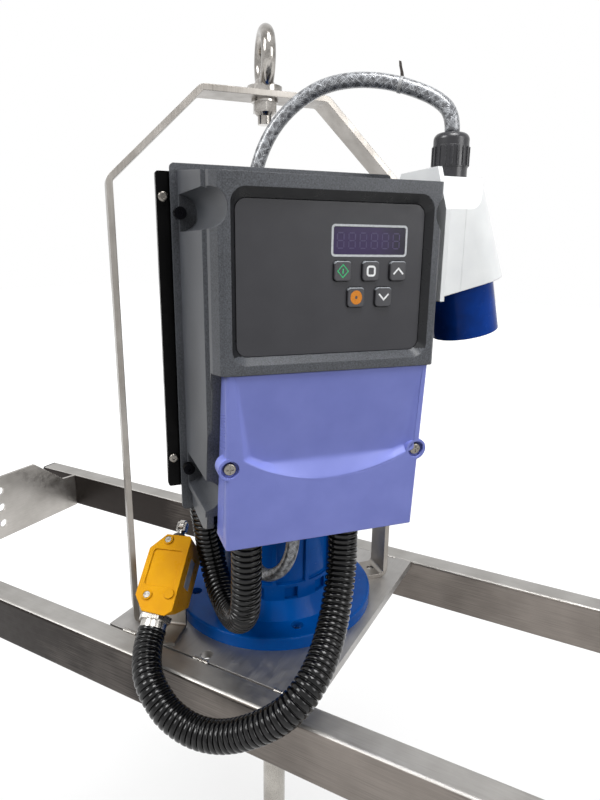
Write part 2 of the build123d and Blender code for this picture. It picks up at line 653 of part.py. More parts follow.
def keypad_panel():
    """Front panel with its display pocket and five key holes."""
    half, low, high = PANEL
    panel = extrude(Pos(0, (low + high) / 2, PANEL_REAR) * RectangleRounded(2 * half, high - low, 7), amount=3)
    for v, up in KEYS.values():
        hole = RectangleRounded(KEY_W + 2 * KEY_GAP, KEY_H + 2 * KEY_GAP, 2.8)
        panel -= extrude(Pos(v, up, PANEL_REAR - 5) * hole, amount=20)
    v, up, w, h = DISPLAY
    panel -= extrude(Pos(v, up, PANEL_REAR + 1.6) * RectangleRounded(w, h, 2.0), amount=5)
    panel -= extrude(Pos(v, up, PANEL_REAR - 5) * Rectangle(w - 4, h - 4), amount=20)
    return shifted(panel)


def display_lens():
    """Dark window over the digits."""
    v, up, w, h = DISPLAY
    return shifted(extrude(Pos(v, up, PANEL_REAR + 1.6) * RectangleRounded(w, h, 2.0), amount=1.2))


def key(name):
    """One key: domed cap, stem and the collar that keeps it in."""
    v, up = KEYS[name]
    cap = extrude(Pos(v, up, PANEL_REAR - 1) * RectangleRounded(KEY_W, KEY_H, 2.5), amount=6.2)
    cap = fillet(cap.faces().sort_by(Axis.Z)[-1].edges(), 0.8)
    collar = extrude(Pos(v, up, PANEL_REAR - 1.6) * RectangleRounded(KEY_W + 3, KEY_H + 2.6, 2.8), amount=1.5)
    return shifted(cap + collar)


def cover_solid(half, inset):
    """Prism of the cover's side outline, half as wide each side, inset for the hollow."""
    low, top = COVER_LOW + inset, COVER_TOP - inset
    reach = inset * 3
    points = [(joint_out(low) - reach, low), (COVER_FRONT_LOW - inset, low), (COVER_FRONT_TOP - inset, top),
              (joint_out(top) - reach, top)]
    return side_prism(points, half)


def cover_front():
    """Plane of the cover's front at its top edge: x across, y up, z outwards."""
    lean = asin((COVER_FRONT_TOP - COVER_FRONT_LOW) / (COVER_TOP - COVER_LOW))
    return Plane(origin=(0, COVER_TOP, COVER_FRONT_TOP), x_dir=(1, 0, 0), z_dir=(0, -sin(lean), cos(lean)))


COVER_SCREW = (70.5, -65.0)                  # across and below the cover's top edge
SCOOP_DEEP = 11.0


def cover_scoop():
    """Scooped front: level with the face at the top, ending at a deep crescent ledge."""
    arc = ThreePointArc((-61.5, -60.0), (1, -80.0), (68.0, -64.0))
    top = Polyline((68.0, -64.0), (69.0, 6), (-68.3, 6), (-61.5, -60.0))
    mouth = Pos(0, 0, 0.4) * make_face([arc, top])
    inner_arc = ThreePointArc((-60.0, -58.5), (1, -61.5), (66.5, -62.5))
    inner_top = Polyline((66.5, -62.5), (67.5, 6), (-66.8, 6), (-60.0, -58.5))
    inner = Pos(0, 0, -SCOOP_DEEP) * make_face([inner_arc, inner_top])
    body = loft([inner, mouth], ruled=True)
    floor = degrees(asin(SCOOP_DEEP / 62.0))
    return body - Rot(floor, 0, 0) * block(-120, 120, -140, 60, -60, 0)


def terminal_cover():
    """Moulded cover over the terminals: scooped front, crescent ledge, screw lugs."""
    outer = cover_solid(COVER_HALF, 0.0)
    front_edges = [e for e in outer.edges() if abs(abs(e.center().X) - COVER_HALF) < 0.1
                   and e.center().Z > 168 and 200 < e.center().Y < 230]
    outer = fillet(front_edges, 2.5)
    front = cover_front()
    body = outer - cover_solid(COVER_HALF - 3.0, 3.0)
    scoop = front * cover_scoop()
    shell = front * (Pos(0, 0, -2.6) * cover_scoop())
    body = body + (shell & outer) - scoop
    across, down = COVER_SCREW
    for s in (-1, 1):
        lug = front * (Pos(s * across, down, -5.2) * Cylinder(8.2, 10.4))
        body += lug
        body -= front * (Pos(s * across, down, 0.5) * Cylinder(6.2, 7.0))
        body -= front * (Pos(s * across, down, 0) * Cylinder(2.3, 30))
    for place, r in ((MOTOR_GLAND, 15.5), (CABLE_GLAND, 12.0), (SWITCH_GLAND, 15.5)):
        body -= Pos(place - DRIVE_SHIFT, COVER_LOW, GLAND_OUT) * Rot(90, 0, 0) * Cylinder(r + 1.0, 40)
    return shifted(body)


def cover_screws():
    """Two stainless cross-head screws that hold the terminal cover."""
    front = cover_front()
    across, down = COVER_SCREW
    screws = []
    for s in (-1, 1):
        head = Pos(s * across, down, -1.7) * Cylinder(4.4, 2.6)
        head = fillet(head.edges().group_by(Axis.Z)[-1], 1.2)
        head -= Pos(s * across, down, -0.2) * Box(5.0, 1.0, 1.6) + Pos(s * across, down, -0.2) * Box(1.0, 5.0, 1.6)
        shank = Pos(s * across, down, -7.5) * Cylinder(2.0, 11)
        screws.append(shifted(front * (head + shank)))
    return screws


def bottom_gland(across, nut_r):
    """Conduit gland under the drive: thread through the wall, collar and nut."""
    low = CASE_LOW
    thread = Pos(across, low + 2, GLAND_OUT) * Rot(90, 0, 0) * Cylinder(9.5, 8)
    collar = Pos(across, low - 2, GLAND_OUT) * Rot(90, 0, 0) * Cylinder(nut_r, 4)
    nut = Pos(across, low - 9.5, GLAND_OUT) * Rot(90, 0, 0) * Cylinder(nut_r - 1.0, 11)
    lock = Pos(across, low + 7.5, GLAND_OUT) * Rot(90, 0, 0) * Cylinder(11.5, 4)
    return in_drive(thread + collar + nut + lock)


# ---------------------------------------------------------------- mains inlet
INLET_WALL = DRIVE_SHIFT + CASE_HALF         # the drive's side face, across
INLET_OUT = 132.0
INLET_PLATE_T = 3.5
INLET_SEAM = 90.0
INLET_LOW, INLET_TOP = 316.0, 404.5
INLET_R = 32.0
SHROUD_TILT = 13.3
SHROUD_R, SHROUD_WALL = 26.0, 2.6


def inlet_plate():
    """Flange plate of the inlet against the drive's side."""
    half = 40.0
    pts = [(-half, 318), (half, 318), (half, 381), (half - 14, 410), (-half + 14, 410), (-half, 381)]
    face = make_face(Polyline(*[Vector(0, up, INLET_OUT + z) for z, up in pts], close=True))
    body = extrude(face, amount=INLET_PLATE_T, dir=(1, 0, 0))
    return in_drive(Pos(INLET_WALL, 0, 0) * body)


def inlet_form():
    """Outer form of the inlet: a rounded wedge that widens towards its mouth."""
    sections = []
    for up, centre in ((INLET_LOW - 6, 119.5), (INLET_TOP, 84.0)):
        arc = ThreePointArc((centre, INLET_R), (centre + INLET_R, 0), (centre, -INLET_R))
        flat = Polyline((centre, -INLET_R), (INLET_WALL + INLET_PLATE_T, -INLET_R),
                        (INLET_WALL + INLET_PLATE_T, INLET_R), (centre, INLET_R))
        face = make_face([arc, flat])
        level = Plane(origin=(0, up, INLET_OUT), x_dir=(1, 0, 0), z_dir=(0, 1, 0))
        sections.append(level * face)
    body = loft(sections, ruled=True)
    below = Pos(75, 320.5, INLET_OUT) * Rot(0, 0, 14.0) * block(-60, 120, -60, 0, -60, 60)
    body -= below
    for s in (-1, 1):
        chop = Pos(0, 382, INLET_OUT + s * INLET_R) * Rot(-s * 26, 0, 0) * block(0, 200, 0, 80, 0, s * 60)
        body -= chop
    return body


def shroud_axis():
    """Plane at the mouth's axis: z points out of the inlet, down and away from the drive."""
    t = radians(SHROUD_TILT)
    return Plane(origin=(110, 328, INLET_OUT), x_dir=(cos(t), sin(t), 0), z_dir=(sin(t), -cos(t), 0))


def inlet_base():
    """Rear half of the inlet's housing, with the cable entry."""
    form = inlet_form() & block(INLET_WALL, INLET_SEAM, 300, 420, 60, 200)
    form -= block(INLET_WALL + INLET_PLATE_T + 3, INLET_SEAM + 1, 336, 398, INLET_OUT - 22, INLET_OUT + 22)
    form -= shroud_axis() * (Pos(0, 0, 10) * Cylinder(SHROUD_R + 0.2, 60))
    form -= Pos(93, 404, 134) * Rot(90, 0, 0) * Cylinder(8.2, 30)
    return in_drive(form)


def inlet_body():
    """Front half of the inlet's housing, round the blue shroud."""
    form = inlet_form() & block(INLET_SEAM, 200, 300, 420, 60, 200)
    form -= block(INLET_SEAM - 1, 108, 340, 396, INLET_OUT - 22, INLET_OUT + 22)
    form -= shroud_axis() * (Pos(0, 0, 10) * Cylinder(SHROUD_R + 0.2, 60))
    form -= Pos(93, 404, 134) * Rot(90, 0, 0) * Cylinder(8.2, 30)
    return in_drive(form)


def inlet_shroud():
    """Blue shroud round the pins, its floor inside the housing, with the keyway rib."""
    tube = Pos(0, 0, 10) * Cylinder(SHROUD_R, 58)
    tube -= Pos(0, 0, 14) * Cylinder(SHROUD_R - SHROUD_WALL, 58)
    rib = Pos(0, -SHROUD_R + 1.0, 26) * Box(9.0, 6.0, 26)
    body = tube + rib - Pos(0, -SHROUD_R + 2.2, 24) * Box(5.0, 5.0, 40)
    for x, y, r in pin_spots():
        body -= Pos(x, y, -17) * Cylinder(r, 20)
    return in_drive(shroud_axis() * body)


def pin_spots():
    """Two line pins and the thicker earth pin on their circle."""
    spots = []
    for angle, r in ((-90, 3.5), (30, 2.5), (150, 2.5)):
        spots.append((11.5 * cos(radians(angle)), 11.5 * sin(radians(angle)), r))
    return spots


def inlet_pins():
    """The three contact pins."""
    pins = []
    for x, y, r in pin_spots():
        pins.append(in_drive(shroud_axis() * (Pos(x, y, 3) * Cylinder(r, 46))))
    return pins


def inlet_gland():
    """Black cable gland on the inlet's top: collar, ribbed nut and dome."""
    x, z = 93.0, 134.0
    body = Pos(x, 408.5, z) * Rot(90, 0, 0) * Cylinder(12.7, 8)
    nut = Pos(x, 420.0, z) * Rot(90, 0, 0) * Cylinder(13.2, 15)
    body += nut
    dome = Cylinder(13.0, 9)
    dome = fillet(dome.edges().group_by(Axis.Z)[-1], 5.0)
    body += Pos(x, 432.0, z) * Rot(-90, 0, 0) * dome
    for k in range(18):
        rib = Rot(0, 20 * k, 0) * Pos(13.2, 0, 0) * Box(1.4, 13, 1.8)
        body += Pos(x, 420.0, z) * rib
    body += Pos(x, 401.5, z) * Rot(90, 0, 0) * Cylinder(8.0, 7)
    return in_drive(body)


# ---------------------------------------------------------------- motor terminal box
BOX_SIDE = (-100.0, -58.5)                   # across
BOX_OUT = (-12.0, 48.0)
BOX_UP = (165.0, 228.0)


def terminal_box():
    """Cast box on the motor's side, open outwards under its lid."""
    body = block(*BOX_SIDE, *BOX_UP, *BOX_OUT)
    body -= block(BOX_SIDE[0] - 1, BOX_SIDE[1] - 8, BOX_UP[0] + 4, BOX_UP[1] - 4, BOX_OUT[0] + 4, BOX_OUT[1] - 4)
    body = in_drive(body) - rod(RIB_R + 0.1, 100, 400)
    body -= in_drive(Pos(-80, BOX_UP[0], 30) * Rot(90, 0, 0) * Cylinder(9.6, 20))
    return body


def terminal_box_lid():
    """Lid of the terminal box."""
    return in_drive(block(BOX_SIDE[0] - 4, BOX_SIDE[0], BOX_UP[0], BOX_UP[1], *BOX_OUT))


def box_gland():
    """Gland under the terminal box."""
    low = BOX_UP[0]
    body = Pos(-80, low + 1, 30) * Rot(90, 0, 0) * Cylinder(9.5, 9)
    body += Pos(-80, low - 2, 30) * Rot(90, 0, 0) * Cylinder(15.5, 4)
    body += Pos(-80, low - 9.5, 30) * Rot(90, 0, 0) * Cylinder(14.5, 11)
    return in_drive(body)


# ---------------------------------------------------------------- limit switch
SWITCH_LEAN, SWITCH_YAW = 50.0, 17.0
SWITCH_SIZE = (37.5, 74.0, 40.0)             # width, length, depth
SWITCH_SPOT = (-41.0, -145.0, RAIL_TOP + 42.5)


def switch_frame():
    """Plane on the switch's lid: x across, y along the switch, z out of the lid."""
    lean, yaw = radians(SWITCH_LEAN), radians(SWITCH_YAW)
    across = (cos(yaw), sin(yaw), 0)
    out = (sin(yaw) * cos(lean), -cos(yaw) * cos(lean), sin(lean))
    return Plane(origin=SWITCH_SPOT, x_dir=across, z_dir=out)


SWITCH = switch_frame()
ROLLER_OUT = 17.0            # roller's centre beyond the housing, plunger out
LID_T = 9.0


def switch_side_cut():
    """Slanted rear of the switch's lower end and its chamfered top."""
    w, length, depth = SWITCH_SIZE
    low = Polyline(Vector(0, -1, 2), Vector(0, 20.5, -depth - 1), Vector(0, -20, -depth - 1), Vector(0, -20, 2), close=True)
    low_cut = extrude(make_face(low), amount=2 * w, dir=(1, 0, 0))
    top = Polyline(Vector(0, length + 1, -depth + 14), Vector(0, length - 10, -depth - 1),
                   Vector(0, length + 10, -depth - 1), Vector(0, length + 10, -depth + 14), close=True)
    top_cut = extrude(make_face(top), amount=2 * w, dir=(1, 0, 0))
    return Pos(-w, 0, 0) * (low_cut + top_cut)


def switch_outline():
    """Outline of the switch seen on its lid, corners cut."""
    w, length, depth = SWITCH_SIZE
    h = w / 2
    return Polyline((-h, 15), (-h + 10, 2), (h - 6, 0), (h, 5), (h, length - 2), (h - 2, length),
                    (-h + 13, length), (-h, length - 15), close=True)


def switch_housing():
    """Yellow housing of the limit switch, behind its lid."""
    depth = SWITCH_SIZE[2]
    body = extrude(make_face(switch_outline()), amount=-depth) - switch_side_cut()
    body -= block(-40, 40, -20, 100, -LID_T, 10)
    body -= block(-14, 14, 24, 64, -LID_T - 20, 0)
    body -= Pos(0, SWITCH_SIZE[1] - 6, -17) * Rot(90, 0, 0) * Cylinder(4.1, 20)
    return SWITCH * body


def switch_lid():
    """Yellow lid of the limit switch with its raised end and screw bosses."""
    body = extrude(make_face(switch_outline()), amount=-LID_T) - switch_side_cut()
    body -= extrude(Pos(0, 42, -1.2) * RectangleRounded(28, 34, 3), amount=5)
    bumps = [(-3, 68.5, 4.5), (-8, 16, 4.5), (12, 19, 4.5)]
    for x, y, r in bumps:
        body += Pos(x, y, 0) * Cylinder(r, 3.0)
    for x, y, r in bumps[:2]:
        body -= Pos(x, y, 1.5) * Cylinder(3.2, 2.4)
    return SWITCH * body


def switch_screws():
    """Lid screws."""
    screws = []
    for x, y in ((-3, 68.5), (-8, 16)):
        head = Pos(x, y, 0.8) * Cylinder(2.8, 1.0) - Pos(x, y, 1.2) * Box(4.2, 0.8, 0.8)
        screws.append(SWITCH * head)
    return screws


def switch_boot():
    """Rubber boot collar round the plunger."""
    length = SWITCH_SIZE[1]
    body = Pos(0, length + 1.75, -17) * Rot(90, 0, 0) * Cylinder(9.0, 3.5)
    body += Pos(0, length + 5.0, -17) * Rot(-90, 0, 0) * Cone(8.0, 6.0, 3)
    body -= Pos(0, length, -17) * Rot(90, 0, 0) * Cylinder(4.06, 40)
    return SWITCH * body


def switch_plunger():
    """Steel plunger with the fork for its roller."""
    length = SWITCH_SIZE[1]
    body = Pos(0, length - 1, -17) * Rot(90, 0, 0) * Cylinder(4.0, 24)
    fork = block(-4.5, 4.5, length + 10.5, length + 20, -21.0, -13.0)
    fork = fillet(fork.edges().filter_by(Axis.X).group_by(Axis.Y)[-1], 3.0)
    body += fork
    body -= block(-2.6, 2.6, length + 11.5, length + 30, -25, -9)
    body -= Pos(0, length + ROLLER_OUT, -17) * Rot(0, 90, 0) * Cylinder(1.3, 30)
    return SWITCH * body


def roller_pin():
    """Pin that the roller turns on."""
    return SWITCH * (Pos(0, SWITCH_SIZE[1] + ROLLER_OUT, -17) * Rot(0, 90, 0) * Cylinder(1.3, 9.0))


def switch_roller():
    """Small steel roller in the fork."""
    wheel = Cylinder(5.0, 4.6) - Cylinder(1.35, 20)
    return SWITCH * (Pos(0, SWITCH_SIZE[1] + ROLLER_OUT, -17) * Rot(0, 90, 0) * wheel)


def switch_fitting():
    """Nickel-plated conduit fitting at the switch's lower end."""
    body = Pos(0, -3.5, -15) * Rot(90, 0, 0) * Cylinder(11.5, 11)
    body += Pos(0, 2.5, -15) * Rot(90, 0, 0) * extrude(RegularPolygon(13.0, 6, major_radius=False), amount=5)
    body -= SWITCH.location.inverse() * (SWITCH * Pos(0, 0, 0) * switch_keep())
    return SWITCH * body


def switch_keep():
    """Solid form of housing and lid, to trim what seats on it."""
    depth = SWITCH_SIZE[2]
    return extrude(make_face(switch_outline()), amount=-depth) - switch_side_cut()


def switch_bracket():
    """Bent sheet on the motor plate that carries the switch by its rear face."""
    yaw, lean = radians(SWITCH_YAW), radians(SWITCH_LEAN)
    upright = Plane(origin=SWITCH_SPOT, x_dir=(-sin(yaw), cos(yaw), 0), z_dir=(cos(yaw), sin(yaw), 0))
    foot = RAIL_TOP - SWITCH_SPOT[2] + 1.5
    deep, reach = SWITCH_SIZE[2] + 1.5, 26.0
    x0, y0 = deep * cos(lean) + reach * sin(lean), -deep * sin(lean) + reach * cos(lean)
    line = FilletPolyline((17.5, foot), (x0, foot), (x0, y0), (x0 + 28 * sin(lean), y0 + 28 * cos(lean)), radius=[4.0, 4.0])
    return upright * extrude(trace(line, line_width=3.0), amount=14.0, both=True)


# ---------------------------------------------------------------- cords
def cord(name, route, r):
    """Tube of straight runs joined by arcs as large as the runs allow; prints its radii."""
    points = [Vector(*p) for p in route]
    radii = []
    for a, b, c in zip(points, points[1:], points[2:]):
        turn = (b - a).get_angle(c - b)
        shorter = min((b - a).length, (c - b).length)
        radii.append(0.45 * shorter / tan(radians(turn) / 2))
    line = FilletPolyline(*points, radius=radii)
    start = Plane(origin=points[0], z_dir=points[1] - points[0])
    tube = sweep(start * Circle(r), path=line)
    print(name, "length %.0f" % line.length, "volume/section %.0f" % (tube.volume / (pi * r * r)),
          "radii", " ".join("%.0f" % q for q in radii))
    return tube


# Points of each route as (across, outward, up) in the drive's frame.
SWITCH_CONDUIT = [(19, 127, 148), (19, 127, 124), (17, 132, 101), (10, 142, 79), (-1, 157, 60), (-16, 175, 46),
                  (-32, 187, 34), (-48, 190, 20), (-67, 182, 4), (-91, 164, -14), (-112, 147, -18),
                  (-129, 130.5, -11)]
SWITCH_CONDUIT_END = [(-5, -180, -3), (-16.5, -176, 5), (-26, -168.5, 11), (-33.5, -159, 15.5)]
MOTOR_CONDUIT = [(-63.5, 127, 148), (-63.5, 127, 75), (-64, 114, 52.5), (-65.5, 91.5, 39.5), (-68, 65.5, 39.5),
                 (-71, 43, 52.5), (-73.5, 30, 75), (-77, 29, 104), (-80, 30, 128), (-80, 30, 150)]
SUPPLY_CABLE = [(93, 134, 436.5), (93, 134, 449), (85, 125, 461), (68, 112, 470), (50, 100, 475.5), (30, 88, 476.5),
                (13, 77, 473), (-2, 67, 464), (-16, 60, 450), (-27, 56, 432), (-34, 53, 410), (-41, 51.5, 380),
                (-47, 51, 345), (-50, 50.5, 305), (-51, 51, 262), (-52, 50, 220), (-52, 51, 180), (-52, 54, 148),
                (-51.5, 63, 122), (-50.5, 76, 101), (-48, 92, 88), (-43, 105, 84), (-35.5, 115, 89), (-28.5, 124, 102),
                (-24, 127, 122), (-24, 127, 148)]


def placed(route):
    """A route in the part's frame."""
    return [drive_point(*p) for p in route]


def switch_route():
    """Whole route of the switch's conduit, ending straight in its fitting."""
    over_rail = [Vector(x, y, RAIL_TOP + z) for x, y, z in SWITCH_CONDUIT_END]
    near = SWITCH.from_local_coords(Vector(0, -19, -15))
    return placed(SWITCH_CONDUIT) + over_rail + [near, SWITCH.from_local_coords(Vector(0, -9, -15))]


# ---------------------------------------------------------------- all pieces
def build():
    """Make every node."""
    node("front_rail", rail(-1))
    node("rear_rail", rail(1))
    node("rail_caps", rail_caps())
    node("left_end_plate", end_plate(-1))
    node("right_end_plate", end_plate(1))
    node("motor_plate", motor_plate())
    node("plate_bolts", [hex_bolt(BOLT_R, BOLT_REACH, 16, 6.4, x, y, RAIL_TOP - PLATE_T) for x, y in bolt_spots()]
         + [hex_bolt(4.0, 12.0, 13, 5.3, p.X, p.Y, RAIL_TOP - PLATE_T) for p in STRAP_HOLES])

    node("gearbox_housing", gearbox_housing())
    node("gearbox_shield", lower_shield())
    node("motor_housing", motor_housing())
    node("motor_end_shield", upper_shield())
    node("fan_cowl", fan_cowl())
    node("cooling_fan", cooling_fan())
    node("stator", [ring(30.4, MOTOR_R_IN, 166, 254), ring(33, 50, 150, 166), ring(33, 50, 254, 270)])
    node("rotor", rotor())
    node("layshaft", layshaft())
    node("inner_bearings", [ring(ROTOR_SHAFT_R + RUN_CLEAR, r, z0, z1)
                            for z0, z1, r in (ROTOR_BEARING_LOW, ROTOR_BEARING_TOP)]
         + [ring(LAY_JOURNAL_R + RUN_CLEAR, r, z0, z1, LAY_X, 0)
            for z0, z1, r in (LAY_BEARING_LOW, LAY_BEARING_TOP)])
    node("output_wheel", output_wheel())
    node("output_shaft", output_shaft())
    node("output_bearings", [ring(OUT_SHAFT_R + RUN_CLEAR, SHAFT_BEARING[2], SHAFT_BEARING[0], SHAFT_BEARING[1]),
                             ring(OUT_NECK_R + RUN_CLEAR, UPPER_OUT_BEARING[2], 84.5, UPPER_OUT_BEARING[1])])
    node("shaft_seal", ring(OUT_SHAFT_R + RUN_CLEAR, SHAFT_BEARING[2], SEAL[0], SEAL[1]))
    node("shaft_coupling", [shaft_coupling()] + coupling_screws())
    node("mixing_shaft", rod(MIX_SHAFT_R, IMPELLER_Z - 24, MIX_TOP))
    node("impeller", impeller())

    node("lifting_strap", strap())
    node("lifting_eye", lifting_eye())
    node("lifting_eye_nut", [eye_nut(), eye_washer()])

    node("drive_bracket", drive_bracket())
    node("drive_back_plate", back_plate())
    node("drive_mount_screws", bracket_screws() + back_plate_screws())
    node("drive_heat_sink", heat_sink())
    node("drive_circuit_board", circuit_board())
    node("drive_case", drive_case())
    node("drive_case_screws", case_screws())
    node("keypad_panel", keypad_panel())
    node("display_lens", display_lens())
    for name in KEYS:
        node(name, key(name))
    node("terminal_cover", terminal_cover())
    node("terminal_cover_screws", cover_screws())
    node("drive_glands", [bottom_gland(MOTOR_GLAND, 15.5), bottom_gland(CABLE_GLAND, 12.0),
                          bottom_gland(SWITCH_GLAND, 15.5)])

    node("inlet_base", [inlet_plate(), inlet_base()])
    node("inlet_body", inlet_body())
    node("inlet_shroud", inlet_shroud())
    node("inlet_pins", inlet_pins())
    node("inlet_gland", inlet_gland())
    node("motor_terminal_box", [terminal_box(), terminal_box_lid(), box_gland()])

    node("switch_housing", switch_housing())
    node("switch_lid", [switch_lid()] + switch_screws())
    node("switch_boot", switch_boot())
    node("switch_plunger", [switch_plunger(), roller_pin()])
    node("switch_roller", switch_roller())
    node("switch_fitting", switch_fitting())
    node("switch_bracket", switch_bracket())
    node("supply_cable", cord("supply_cable", placed(SUPPLY_CABLE), CABLE_R))
    node("motor_conduit", cord("motor_conduit", placed(MOTOR_CONDUIT), CONDUIT_R))
    node("switch_conduit", cord("switch_conduit", switch_route(), CONDUIT_R))


def write():
    """Write one STEP file for each node."""
    os.makedirs("parts", exist_ok=True)
    for name, shape in NODES.items():
        export_step(shape, "parts/%s.step" % name)


build()
write()
print(len(NODES), "nodes")
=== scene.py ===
"""Looks of a bridge-mounted tank agitator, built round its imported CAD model.

Lengths in the helpers are millimetres where a name ends in _mm; everything placed in the
scene is in metres in the row frame: +Z up along the shaft, +X along the rails."""

import random
from math import asin, cos, pi, radians, sin, sqrt

import bmesh
import bpy
from bpy.props import FloatProperty, PointerProperty, StringProperty
from bpy.types import NodeSocket, Operator, Panel, PropertyGroup
from mathutils import Matrix, Vector


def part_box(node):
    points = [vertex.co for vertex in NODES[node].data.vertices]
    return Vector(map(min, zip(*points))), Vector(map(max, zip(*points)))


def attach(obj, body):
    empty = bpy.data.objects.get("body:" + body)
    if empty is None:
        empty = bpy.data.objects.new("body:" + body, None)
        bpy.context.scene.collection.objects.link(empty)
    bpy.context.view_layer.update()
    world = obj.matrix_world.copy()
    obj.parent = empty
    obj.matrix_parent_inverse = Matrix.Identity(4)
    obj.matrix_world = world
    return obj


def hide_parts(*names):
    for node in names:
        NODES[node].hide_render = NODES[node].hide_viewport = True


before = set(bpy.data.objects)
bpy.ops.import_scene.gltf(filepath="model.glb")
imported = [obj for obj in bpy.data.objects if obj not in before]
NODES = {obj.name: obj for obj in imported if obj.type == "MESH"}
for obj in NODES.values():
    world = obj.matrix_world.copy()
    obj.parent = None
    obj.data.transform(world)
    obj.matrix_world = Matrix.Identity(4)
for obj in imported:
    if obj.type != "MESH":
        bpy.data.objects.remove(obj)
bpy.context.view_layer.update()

bl_info = {
    "name": "Tank agitator looks",
    "version": (1, 0, 0),
    "blender": (4, 5, 0),
    "location": "View3D > Sidebar > Agitator",
    "description": "Materials, cords and small details of a tank agitator, and its stage",
    "category": "Object",
}

# ---- places
MM = 0.001
RAIL_TOP = 50.0
DRIVE_TURN = radians(47.87)
DRIVE_CENTRE = -16.0
ACROSS = Vector((cos(DRIVE_TURN), sin(DRIVE_TURN), 0.0))
OUTWARD = Vector((sin(DRIVE_TURN), -cos(DRIVE_TURN), 0.0))
UP = Vector((0.0, 0.0, 1.0))


def spot_at(across, up, outward):
    """A point in metres, from the shaft's axis and the rail tops in millimetres."""
    return (ACROSS * across + OUTWARD * outward + UP * (RAIL_TOP + up)) * MM


def drive_matrix(across, up, outward):
    """Matrix of a place on the drive, from its middle in millimetres: x across, y up, z outward."""
    turn = Matrix((ACROSS, UP, OUTWARD)).transposed().to_4x4()
    return Matrix.Translation(spot_at(DRIVE_CENTRE + across, up, outward)) @ turn


def drive_place(point):
    """Across, up and outward of a point in metres, in millimetres from the drive's middle."""
    spot = Vector(point) / MM
    return spot.dot(ACROSS) - DRIVE_CENTRE, spot.z - RAIL_TOP, spot.dot(OUTWARD)


SWITCH_LEAN, SWITCH_YAW = radians(50.0), radians(17.0)
SWITCH_SPOT = Vector((-41.0, -145.0, RAIL_TOP + 42.5))
SWITCH_ACROSS = Vector((cos(SWITCH_YAW), sin(SWITCH_YAW), 0.0))
SWITCH_OUT = Vector((sin(SWITCH_YAW) * cos(SWITCH_LEAN), -cos(SWITCH_YAW) * cos(SWITCH_LEAN),
                     sin(SWITCH_LEAN)))
SWITCH_ALONG = SWITCH_OUT.cross(SWITCH_ACROSS)


def switch_point(x, y, z):
    """A point of the limit switch in metres: x across, y along, z out of its lid."""
    return (SWITCH_SPOT + SWITCH_ACROSS * x + SWITCH_ALONG * y + SWITCH_OUT * z) * MM


EVEN = (1.0, 1.0, 1.0)
PAINT_EDGE = "#1D5FA8"          # thin enamel on edges


# ---- material helpers
def linear(code):
    """Linear colour from an sRGB hex code."""
    values = [int(code[i:i + 2], 16) / 255 for i in (1, 3, 5)]
    return tuple(v / 12.92 if v <= 0.04045 else ((v + 0.055) / 1.055) ** 2.4 for v in values) + (1.0,)


def node(tree, kind, settings=None, **inputs):
    """Adds a node, sets its settings, and links or fills its inputs, named or numbered as i0, i1."""
    made = tree.nodes.new(kind)
    for key, value in (settings or {}).items():
        setattr(made, key, value)
    for key, value in inputs.items():
        numbered = key[0] == "i" and key[1:].isdigit()
        socket = made.inputs[int(key[1:]) if numbered else key.replace("_", " ")]
        if isinstance(value, NodeSocket):
            tree.links.new(value, socket)
        else:
            socket.default_value = value
    return made


def start(name, **settings):
    """A new material with its principled shader."""
    material = bpy.data.materials.new(name)
    material.use_nodes = True
    tree = material.node_tree
    shader = tree.nodes["Principled BSDF"]
    for key, value in settings.items():
        shader.inputs[key.replace("_", " ")].default_value = value
    return material, tree, shader


def feed(tree, shader, colour, rough=None):
    """Links a colour and a roughness to a shader."""
    tree.links.new(colour, shader.inputs["Base Color"])
    if rough is not None:
        tree.links.new(rough, shader.inputs["Roughness"])


def places(tree, stretch=EVEN):
    """Object coordinates, stretched along the axes."""
    source = node(tree, "ShaderNodeTexCoord").outputs["Object"]
    return node(tree, "ShaderNodeMapping", Vector=source, Scale=stretch).outputs["Vector"]


def noise(tree, size_mm, detail=3.0, roughness=0.5, stretch=EVEN):
    """Noise whose blobs are about size_mm across; returns its value socket."""
    return node(tree, "ShaderNodeTexNoise", Vector=places(tree, stretch), Scale=1000.0 / size_mm,
                Detail=detail, Roughness=roughness).outputs["Fac"]


def remap(tree, value, low, high, to_low=0.0, to_high=1.0):
    """Maps a value from one span to another, held at its ends."""
    return node(tree, "ShaderNodeMapRange", Value=value, From_Min=low, From_Max=high, To_Min=to_low,
                To_Max=to_high).outputs["Result"]


def spread(tree, value, low=0.0, high=1.0):
    """Maps the span where most of a noise lies to low-high."""
    return remap(tree, value, 0.3, 0.7, low, high)


def blend_colours(tree, amount, first, second):
    """Mix by amount of two colours, each a hex code, a value or a socket."""
    first, second = [linear(c) if isinstance(c, str) else c for c in (first, second)]
    return node(tree, "ShaderNodeMix", {"data_type": "RGBA"}, i0=amount, i6=first, i7=second).outputs[2]


def maths(tree, operation, first, second=0.5, clamp=False):
    """One arithmetic node."""
    settings = {"operation": operation, "use_clamp": clamp}
    return node(tree, "ShaderNodeMath", settings, i0=first, i1=second).outputs[0]


def relief(tree, shader, height, depth_mm, edge_mm=0.0):
    """Bump of a real depth, on edges softened by edge_mm."""
    made = node(tree, "ShaderNodeBump", Height=height, Strength=1.0, Distance=depth_mm * MM)
    if edge_mm:
        rounded = node(tree, "ShaderNodeBevel", {"samples": 4}, Radius=edge_mm * MM)
        tree.links.new(rounded.outputs["Normal"], made.inputs["Normal"])
    tree.links.new(made.outputs["Normal"], shader.inputs["Normal"])


